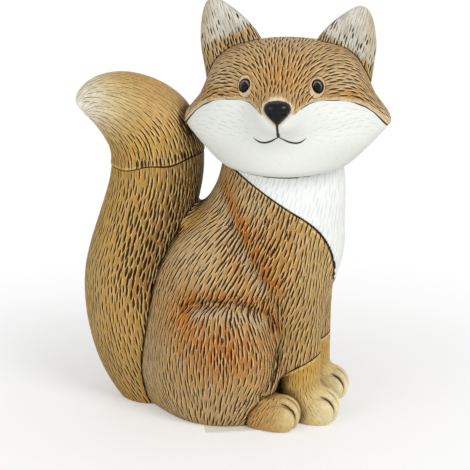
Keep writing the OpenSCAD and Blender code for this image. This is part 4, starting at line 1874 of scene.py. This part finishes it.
    def nose_form(self, x: Array, y: Array, z: Array) -> Array:
        """The nose: a rounded triangle with two nostril dents.

        Args:
            x, y, z: Places in the head's frame.

        Returns:
            The signed distance.
        """
        rows = tuple((h, 0.0, -31.3, a, b, 2.2) for h, a, b in self.nose_levels)
        form = Loft(rows, 0.5)(x, y, z)
        return smooth_max(form, -Egg((2.3, -33.6, 24.3), (0.85, 1.0, 0.55), 25)(np.abs(x), y, z), 0.4)

    def build(self) -> None:
        """Builds the casting, then the ears, eyes and nose."""
        form, where = self.form, self.form.placement()
        sockets = {side: self.socket(side) for side in Side}

        def casting(x: Array, y: Array, z: Array) -> Array:
            """Head with its brow step, eye rims and the seat of the nose.

            Args:
                x, y, z: Places in the head's frame.

            Returns:
                The signed distance.
            """
            solid = form.skull(x, y, z) - form.brow_step(x, y, z)
            for middle in sockets.values():
                wide, tall = self.rim_half
                rim = np.sqrt(((x - middle[0]) / wide) ** 2 + ((z - middle[2]) / tall) ** 2)
                solid = solid - 0.4 * bell((rim - 1) / 0.14) * (y < -8)
                pit = Egg((middle[0], middle[1] + 0.4, middle[2]), self.pit_half)(x, y, z)
                solid = np.maximum(solid, -pit)
            ring = np.hypot(x, z - form.nose_z)
            solid = solid - 0.3 * bell((ring - 4.7) / 0.7) * (y < -20)
            return np.maximum(solid, 0.08 - self.nose_form(x, y, z))

        sculpt = Sculpt("painted_head", casting, (-36, -34, -1), (36, 20, 45), self.voxel)
        flow = self.flow.at(sculpt.points, sculpt.normals)
        x, y, z = sculpt.points.T
        above = form.above_mask(x, y, z)
        eyes = np.min([np.hypot((x - m[0]) / 2.7, (z - m[2]) / 3.3) for m in sockets.values()], axis=0)
        clear = smooth_step(0.95, 1.15, eyes + 2.0 * (y > -8))
        clear *= smooth_step(5.0, 6.4, np.hypot(x, z - form.nose_z) + 9.0 * (y > -20))
        brown = smooth_step(0.4, 1.1, above) * clear
        white = smooth_step(-0.6, -1.6, above) * clear
        self.fur.cut(sculpt, flow, brown)
        self.down.cut(sculpt, flow, brown)
        self.cheek_fur.cut(sculpt, flow, white * smooth_step(10, 18, z) * smooth_step(7, 13, np.abs(x)))
        self.draw_face(sculpt)
        shown = sculpt.points.copy()
        shown[:, 0] = np.abs(shown[:, 0])
        coat = paint_zones(shown, self.coat_colour, self.zones())
        jaw = Zone((20, -18, 6), (12, 16, 7), "#d9dcd2", 0.8)
        chalk = paint_zones(shown, self.chalk_colour, [jaw])
        ring = smooth_step(1.7, 0.7, self.nose_form(x, y, z))
        cover = smooth_step(0.12, -0.12, above)
        cover = np.maximum(cover, smooth_step(24.6, 23.6, z) * smooth_step(7.2, 6.4, np.abs(x)) * (y < 0))
        coat += cover[:, None] * (chalk - coat)
        lay_over(coat, 0.9 * ring, self.nose_ring_colour)
        for middle in sockets.values():
            rim = np.hypot((x - middle[0]) / 2.0, (z - middle[2]) / 2.65)
            lay_over(coat, 0.9 * smooth_step(1.24, 1.1, rim) * (y < -8), self.eye_rim_colour)
            sculpt.line_field("down_0", 2.2 * (rim - 1.27), 0.16, 9.0 * (y > -8))
        sculpt.channels["coat"] = coat
        off = 9 * smooth_step(5.9, 5.3, np.hypot(x, z - form.nose_z)) + 9.0 * (y > -4)
        off += 9.0 * (z < 24.8) * (np.abs(x) < 8)
        thick = 0.11 + 0.06 * np.sin(0.8 * np.abs(x) + 0.9) + 0.1 * smooth_step(22, 28, np.abs(x))
        sculpt.line_field("seam", above + 0.3, thick, off)
        sculpt.line_field("ridge", above - 0.5, 0.3, off)
        sculpt.channels["white"] = cover
        sculpt.shade(where, self.crowd)
        # Less painted shade on the cream ring round the nose
        sculpt.channels["hollow"] *= 1 - 0.8 * ring
        finish = FacePaint("washed_resin_face", wash="#53300f").build()
        place_piece(sculpt, where, finish, "head_casting")
        for side in Side:
            self.build_ear(side, where)
            self.build_eye(side, where, sockets[side])
        self.build_nose(where)

    def draw_face(self, sculpt: Sculpt) -> None:
        """Cuts the line under the nose and the smile.

        Args:
            sculpt: The head's mesh.
        """
        philtrum = [(-0.1, 21.4), (-0.1, 19.4), (-0.1, 17.4), (-0.1, 15.8)]
        sculpt.ink("seam", self.drawn(philtrum), 0.4, 0.1, 0.5)
        sculpt.ink("seam", self.drawn(philtrum[2:]), 0.7, 0.3, 0.3)
        half = ((0, 15.8), (1.4, 14.8), (3.0, 13.9), (5.0, 13.4), (6.9, 13.7), (8.4, 14.8))
        for side in (-1, 1):
            smile = self.drawn([(side * a - 0.1, b) for a, b in half])
            sculpt.ink("seam", smile, 0.34, 0.75, 0.35)
        sculpt.settle_relief()

    def build_ear(self, side: Side, where: Placement) -> None:
        """Builds an ear: dished in front, with a brown root and a grey tip.

        Args:
            side: The ear's side.
            where: The head's frame.
        """
        tall = self.ear_heights[side]
        root = self.ear_root
        way = side.value
        wide, thick = self.ear_width, self.ear_thickness
        rows = tuple(
            (root[2] + h * tall, way * (root[0] + lean * tall), root[1], a * wide, b * thick, 2.3)
            for h, lean, a, b in self.ear_levels
        )
        shell = Loft(rows, 1.2)
        dish = Egg(
            (way * (root[0] + 0.13 * tall), root[1] - 0.62 * thick, root[2] + 0.58 * tall),
            (0.34 * wide, 0.42 * thick, 0.36 * tall),
            -way * 12,
        )

        def ear(x: Array, y: Array, z: Array) -> Array:
            """The ear over the head's surface."""
            solid = smooth_max(shell(x, y, z), -dish(x, y, z), 1.6)
            return np.maximum(solid, 0.1 - self.form.skull(x, y, z))

        start, stop = sorted([way * 3.0, way * 30.0])
        low, high = (start, -5, 27), (stop, 9, 57)
        sculpt = Sculpt(f"{side.word}_painted_ear", ear, low, high, self.ear_voxel)
        x, y, z = sculpt.points.T
        flow = lay_along(np.tile([way * 0.28, 0.0, 1.0], (len(x), 1)), sculpt.normals)
        # The brown root ends at a ragged slanting line, lower on the outside
        ragged = 0.7 * np.sin(2.3 * x) + 0.5 * np.sin(5.1 * x + 1.0)
        border = self.ear_border[side] - self.ear_slope[side] * (np.abs(x) - 12.5) + ragged
        above = smooth_step(-0.9, 0.9, z - border)
        root_line = self.form.skull(x, y, z)
        # Over the root the bold cuts come in a few clusters, and the tip has none
        clusters = smooth_step(0.1, 0.4, np.sin(1.1 * x + 0.7) * np.sin(0.9 * z + 0.4 * x))
        bold = (1 - above) * 1.1 + 1.2 * above * clusters * bell((z - border - 4.5) / 3.5)
        self.ear_fur.cut(sculpt, flow, bold * smooth_step(0.2, 0.8, root_line))
        self.ear_down.cut(sculpt, flow, smooth_step(0.1, 0.6, root_line))
        brown = paint_zones(sculpt.points, self.ear_root_colour, [])
        outer = Zone((way * 27.5, 0, 46), (2.4, 8, 14), "#ad9060", 0.5)
        grey = paint_zones(sculpt.points, self.ear_tip_colour, [outer])
        share = above * smooth_step(4.5, 2.5, y)
        sculpt.channels["coat"] = brown + share[:, None] * (grey - brown)
        sculpt.shade(where, self.crowd)
        finish = PaintedResin(
            f"{side.word}_ear_paint", wash="#2f1f0e", ridge="#dbd3bd", ridge_strength=0.5, shade_and_wash_strength=0.6
        ).build()
        place_piece(sculpt, where, finish, f"{side.word}_ear")

    def build_eye(self, side: Side, where: Placement, middle: Array) -> None:
        """Builds an eye bead, a little proud of its rim.

        Args:
            side: The eye's side.
            where: The head's frame.
            middle: Middle of its socket.
        """
        bead = Egg((middle[0], middle[1] + 0.7, middle[2]), self.bead_half)
        low = middle - [2.4, 2.0, 3.0]
        high = middle + [2.4, 3.0, 3.0]
        sculpt = Sculpt(f"{side.word}_eye_bead", bead, tuple(low), tuple(high), self.bead_voxel)
        x, y, z = sculpt.points.T
        # The pale ring, stronger towards the top, is an iris ring and a painted reflection on the wet enamel
        ring = np.hypot((x - middle[0]) / self.bead_half[0], (z - middle[2]) / self.bead_half[2])
        upper = 0.55 + 0.45 * smooth_step(-1, 1, z - middle[2])
        sculpt.channels["iris_and_reflection"] = upper * bell((ring - 0.74) / 0.1) * (y < middle[1] + 0.7)
        finish = GlossEnamel(f"{side.word}_eye_enamel").build()
        place_piece(sculpt, where, finish, f"{side.word}_eye")

    def build_nose(self, where: Placement) -> None:
        """Builds the nose."""
        sculpt = Sculpt("enamelled_nose", self.nose_form, (-6, -36, 19), (6, -27, 29), self.nose_voxel)
        finish = GlossEnamel("nose_enamel", roughness=0.16).build()
        place_piece(sculpt, where, finish, "nose")


@dataclass
class Tail:
    """Lower tail and pale tip, parted at the ring line."""

    form: TailForm
    body: BodyForm
    crowd: Crowd
    voxel: float = 0.37
    tip_voxel: float = 0.3
    coat_colour: str = "#b48c4a"
    fur: Fur = Fur(length=4.6, width=0.64, beside=1.15, ahead=3.4, depth=0.15, seed=31)
    down: Fur = Fur(length=4.2, width=0.2, beside=0.85, ahead=3.0, depth=0.02, channels=DOWN, seed=32)

    def build(self) -> None:
        """Builds both castings of the tail."""
        form, where = self.form, self.form.placement()
        body_here = self.body.placement().seen_from(where, self.body.whole)
        finish = PaintedResin("washed_resin_tail", wash="#3d1f08").build()

        def lower(x: Array, y: Array, z: Array) -> Array:
            """The tail under the ring line, cut where it meets the body.

            Args:
                x, y, z: Places in the tail's frame.

            Returns:
                The signed distance.
            """
            solid = np.maximum(form.skin(x, y, z), form.above_ring(x, z) + 0.06)
            solid = np.maximum(solid, 0.1 - z)
            return np.maximum(solid, 0.12 - body_here(x, y, z))

        def tip(x: Array, y: Array, z: Array) -> Array:
            """The tail over the ring line, a little proud of what lies under it.

            Args:
                x, y, z: Places in the tail's frame.

            Returns:
                The signed distance.
            """
            over = form.above_ring(x, z)
            lip = 0.3 * bell(over / 1.6)
            return smooth_max(form.skin(x, y, z) - lip, 0.06 - over, 0.25)

        low_part = Sculpt("painted_tail", lower, (-30, -18, 0), (19, 18, 92), self.voxel)
        self.finish_casting(low_part, finish, where, "tail_lower")
        top_part = Sculpt("painted_tail_tip", tip, (-30, -18, 78), (19, 18, 115), self.tip_voxel)
        self.finish_casting(top_part, finish, where, "tail_tip")

    def finish_casting(
        self, sculpt: Sculpt, finish: Material, where: Placement, node: str
    ) -> None:
        """Cuts the fur of a casting and paints it.

        Args:
            sculpt: The casting.
            finish: Its material.
            where: The tail's frame.
            node: The CAD node that it stands for.
        """
        form = self.form
        x, y, z = sculpt.points.T
        flow = form.lie(sculpt.points, sculpt.normals)
        shell = smooth_step(-0.5, -0.2, form.skin(x, y, z))
        shell *= smooth_step(0.4, 1.0, np.abs(form.above_ring(x, z))) * smooth_step(0.3, 1.5, z)
        bold = 0.68 + 0.75 * bell((x + 9) / 7, (z - 54) / 18)
        bold += 0.4 * bell((x - 4) / 6, (z - 66) / 16)
        pale_end = smooth_step(96, 108, z - 0.35 * x)
        bold *= 1 - 0.55 * pale_end
        shell *= 1 - 0.2 * pale_end
        # The strokes fade before they would meet at the tail's very end
        end = (-form.reach, 0.0, form.stations[-1][1] * form.height)
        shell *= smooth_step(2.5, 5.0, np.linalg.norm(sculpt.points - end, axis=1))
        if node == "tail_tip":
            self.cut_ring(sculpt, flow)
        self.fur.cut(sculpt, flow, bold * shell)
        self.down.cut(sculpt, flow, shell)
        zones = [
            Zone((-26, 0, 40), (6, 30, 28), "#b1935e", 0.85),
            Zone((-12, 0, 79), (8, 30, 7), "#b58e44", 0.8),
            # Dark browns down the side toward the body: wash, and painted shade where the tail and body close
            # in
            Zone((9, 0, 77), (8, 30, 17), "#5f4022", 0.95),
            Zone((3, 0, 67), (8, 30, 13), "#643f1a", 0.93),
            Zone((-2, 0, 56), (7, 30, 12), "#6a441b", 0.92),
            Zone((-6, 0, 44), (6, 30, 12), "#7b4f20", 0.85),
            Zone((-14, 0, 12), (12, 30, 10), "#a28046", 0.7),
            Zone((2, 0, 105), (12, 30, 7), "#c5a36c", 0.85),
            Zone((-10, 0, 92), (10, 30, 5), "#b8913f", 0.8),
            Zone((12, 0, 94), (5, 30, 6), "#7f5f34", 0.8),
            Zone((-19, 0, 105), (10, 30, 9), "#d6c491", 0.85),
            Zone((-27, 0, 104), (8.0, 30, 10), "#e8e4d4", 0.97),
        ]
        sculpt.channels["coat"] = paint_zones(sculpt.points, self.coat_colour, zones)
        right = smooth_step(-10, 2, x)
        sculpt.line_field("seam", form.above_ring(x, z), 0.14 + 0.2 * right)
        sculpt.line_field("ridge", form.above_ring(x, z) - 0.7, 0.26, 9 * right)
        sculpt.shade(where, self.crowd)
        place_piece(sculpt, where, finish, node)

    def cut_ring(self, sculpt: Sculpt, flow: Array) -> None:
        """Cuts the dense dark ticks that stand on the ring line.

        Args:
            sculpt: The tip's mesh.
            flow: Direction of the fur at each point.
        """
        form = self.form
        draw = np.random.default_rng(33)
        # They stand on the side of the ring that faces the body
        for angle in np.arange(-0.62, 0.62, 0.026) * np.pi:
            across = np.cos(angle)
            if draw.random() < 0.1:
                continue
            tall = draw.uniform(1.8, 3.6)
            x = form.ring_radius * across - form.pin_shift
            lift = form.ring_z + 0.16 * (x + form.pin_shift) + 0.5 * tall + 0.3
            start = sculpt.points[sculpt.tree.find((x, form.ring_radius * np.sin(angle), lift))[1]]
            line = sculpt.trace(start, flow, tall)
            sculpt.stroke(FUR, line, draw.uniform(0.24, 0.36), 0.25)
        sculpt.settle_relief()


@dataclass
class Base:
    """Paper label, and the CAD pieces that keep their shape: plug, dowel and pins."""

    curl: float = 0.25
    cells: tuple[int, int] = (40, 20)

    def build(self) -> None:
        """Dresses the kept pieces and lays the label."""
        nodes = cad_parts
        dressed = {
            "neck_dowel": BEECH,
            "tail_ring_pin": RING_PIN,
            "tail_root_pin": ROOT_PIN,
            "base_plug": RUBBER,
        }
        for node, stock in dressed.items():
            mesh = nodes[node].data
            mesh.materials.clear()
            mesh.materials.append(stock.build())
            log.info("%s: dressed", node)
        self.build_label()

    def build_label(self) -> None:
        """Lays the blank paper label under the near side, its free edge curling a little."""
        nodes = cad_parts
        low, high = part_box("paper_label")
        corners = np.array([v.co for v in nodes["paper_label"].data.vertices])
        # The node's mesh may hold a corner more than once
        lowest = np.unique(np.round(corners[corners[:, 2] < (low[2] + high[2]) / 2], 6), axis=0)
        order = np.argsort(lowest[:, 0])
        left = lowest[order[:2]]
        right = lowest[order[-2:]]
        near_left, far_left = left[np.argsort(left[:, 1])][[0, -1]]
        near_right, far_right = right[np.argsort(right[:, 1])][[0, -1]]
        across, along = self.cells
        v, u = np.meshgrid(np.linspace(0, 1, along + 1), np.linspace(0, 1, across + 1), indexing="ij")
        u, v = u.reshape(-1, 1), v.reshape(-1, 1)
        near = near_left + u * (near_right - near_left)
        far = far_left + u * (far_right - far_left)
        under = near + v * (far - near)
        rise = np.maximum(1 - v / 0.35, 0) ** 2 * (0.4 + 0.6 * np.abs(2 * u - 1) ** 2)
        under[:, 2:] += self.curl * MM * rise
        count = len(under)
        over = under + [0, 0, high[2] - low[2]]
        cells = np.arange(count).reshape(along + 1, across + 1)
        corner = [cells[:-1, :-1], cells[1:, :-1], cells[1:, 1:], cells[:-1, 1:]]
        lower = np.column_stack([part.ravel() for part in corner])
        rim = np.concatenate([cells[0], cells[1:, -1], cells[-1, -2::-1], cells[-2:0:-1, 0]])
        after = np.roll(rim, -1)
        sides = np.column_stack([rim, after, after + count, rim + count])
        faces = np.vstack([lower, lower[:, ::-1] + count, sides])
        mesh = bpy.data.meshes.new("blank_label")
        mesh.from_pydata(np.vstack([under, over]).tolist(), [], faces.tolist())
        mesh.validate()
        mesh.materials.append(PAPER.build())
        label = add_object("blank_label", mesh)
        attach(label, "root")
        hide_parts("paper_label")
        log.info("blank_label: %d faces", len(faces))


# The studio


@dataclass
class Studio:
    """Pale floor, soft lamps and the camera at the photograph's angle, sizes in millimetres."""

    floor_half: float = 3000.0
    shadow_reach: float = 190.0
    camera_place: Row = (0.0, -572.8, 230.4)
    camera_aim: Row = (0.6, 4.0, 65.0)
    # The photograph's frame is 470 px wide at 0.337 mm a pixel, seen from 600 mm
    frame_width: float = 158.4
    frame_distance: float = 600.0
    # The picture's middle lies this far under the aim
    drop: float = 5.86
    # Each lamp: name, place, side and strength, of which 1 is this many watts
    lamps: tuple[tuple[str, Row, float, float], ...] = (
        ("key_lamp", (420, -520, 620), 420, 1.0),
        ("fill_lamp", (-560, -480, 380), 480, 0.4),
    )
    lamp_watts: float = 3.8
    sky_strength: float = 0.53

    def build(self) -> None:
        """Builds the stage, the lamps and the camera."""
        self.build_floor()
        self.build_world()
        for lamp in self.lamps:
            self.build_lamp(*lamp)
        self.build_camera()

    def build_floor(self) -> None:
        """Lays a pale floor that the camera sees as white, with the figurine's shadow."""
        half = self.floor_half * MM
        mesh = bpy.data.meshes.new("studio_floor")
        corners = [(-half, -half, 0), (half, -half, 0), (half, half, 0), (-half, half, 0)]
        mesh.from_pydata(corners, [], [(0, 1, 2, 3)])
        material, tree, shader = new_material("pale_board")
        shader.inputs["Base Color"].default_value = linear("#fafaf9")
        shader.inputs["Roughness"].default_value = 0.6
        # The board fades to plain white away from the figurine's shadow
        place = add_node(tree, "ShaderNodeTexCoord", output="Object")
        away = add_node(tree, "ShaderNodeVectorMath", {"operation": "LENGTH"}, "Value", s0=place)
        fade = add_node(tree, RANGE, SMOOTH, s0=away, s1=0.03, s2=self.shadow_reach * MM, s3=0.35, s4=1.0)
        path = add_node(tree, "ShaderNodeLightPath", output="Is Camera Ray")
        share = add_node(tree, MATH, {"operation": "MULTIPLY"}, s0=path, s1=fade)
        white = add_node(tree, "ShaderNodeEmission", Color=(1, 1, 1, 1), Strength=1.0)
        both = add_node(tree, "ShaderNodeMixShader", s0=share, s1=shader.outputs[0], s2=white)
        tree.links.new(both, tree.nodes["Material Output"].inputs["Surface"])
        mesh.materials.append(material)
        floor = add_object("studio_floor", mesh)

    def build_world(self) -> None:
        """Lights the scene evenly, with a white backdrop for the camera and for reflections."""
        world = bpy.data.worlds.new("studio")
        bpy.context.scene.world = world
        world.use_nodes = True
        tree = world.node_tree
        seen = 0.0
        for ray in ("Is Camera Ray", "Is Glossy Ray", "Is Transmission Ray"):
            path = add_node(tree, "ShaderNodeLightPath", output=ray)
            seen = add_node(tree, MATH, {"operation": "MAXIMUM"}, s0=seen, s1=path)
        power = add_node(tree, RANGE, s0=seen, s3=self.sky_strength, s4=1.0)
        sky = tree.nodes["Background"]
        sky.inputs["Color"].default_value = (1, 1, 1, 1)
        tree.links.new(power, sky.inputs["Strength"])

    def build_lamp(self, name: str, place: Row, size: float, power: float) -> None:
        """Hangs a square soft lamp that points at the figurine.

        Args:
            name: The lamp's name.
            place: Where it hangs.
            size: Its side.
            power: Its strength as a share.
        """
        data = bpy.data.lights.new(name, "AREA")
        data.size = size * MM
        data.energy = power * self.lamp_watts
        lamp = add_object(name, data)
        self.point(lamp, place, self.camera_aim)

    def build_camera(self) -> None:
        """Sets the camera where the photograph was taken from."""
        data = bpy.data.cameras.new("studio_camera")
        data.sensor_width = 36.0
        data.lens = data.sensor_width * self.frame_distance / self.frame_width
        camera = add_object("studio_camera", data)
        x, y, z = self.camera_aim
        self.point(camera, self.camera_place, (x, y, z - self.drop))
        bpy.context.scene.camera = camera

    def point(self, thing: bpy.types.Object, place: Row, aim: Row) -> None:
        """Places a lamp or camera and turns it towards a point.

        Args:
            thing: The lamp or camera.
            place: Where it stands.
            aim: The point.
        """
        start, end = np.array(place) * MM, np.array(aim) * MM
        back = (start - end) / np.linalg.norm(start - end)
        right = np.cross([0, 0, 1], back)
        right /= np.linalg.norm(right)
        up = np.cross(back, right)
        matrix = np.eye(4)
        matrix[:3, 0], matrix[:3, 1], matrix[:3, 2], matrix[:3, 3] = right, up, back, start
        thing.matrix_world = matrix.T


def main() -> None:
    """Builds the figurine piece by piece, then the studio."""
    body, head, tail, crowd = BodyForm(), HeadForm(), TailForm(), Crowd()
    seated = body.placement()
    crowd.add(seated, body.whole)
    crowd.add(head.placement(), head.skull)
    crowd.add(tail.placement(), tail.skin)
    casting = Body(body, head, tail, crowd)
    for side in Side:
        crowd.add(seated, casting.front_paw(side))
        crowd.add(seated, casting.hind_paw(side))
    casting.build()
    Head(head, crowd).build()
    Tail(tail, body, crowd).build()
    Base().build()
    Studio().build()
    bpy.context.scene.view_settings.view_transform = "Standard"


if __name__ == "__main__":
    main()
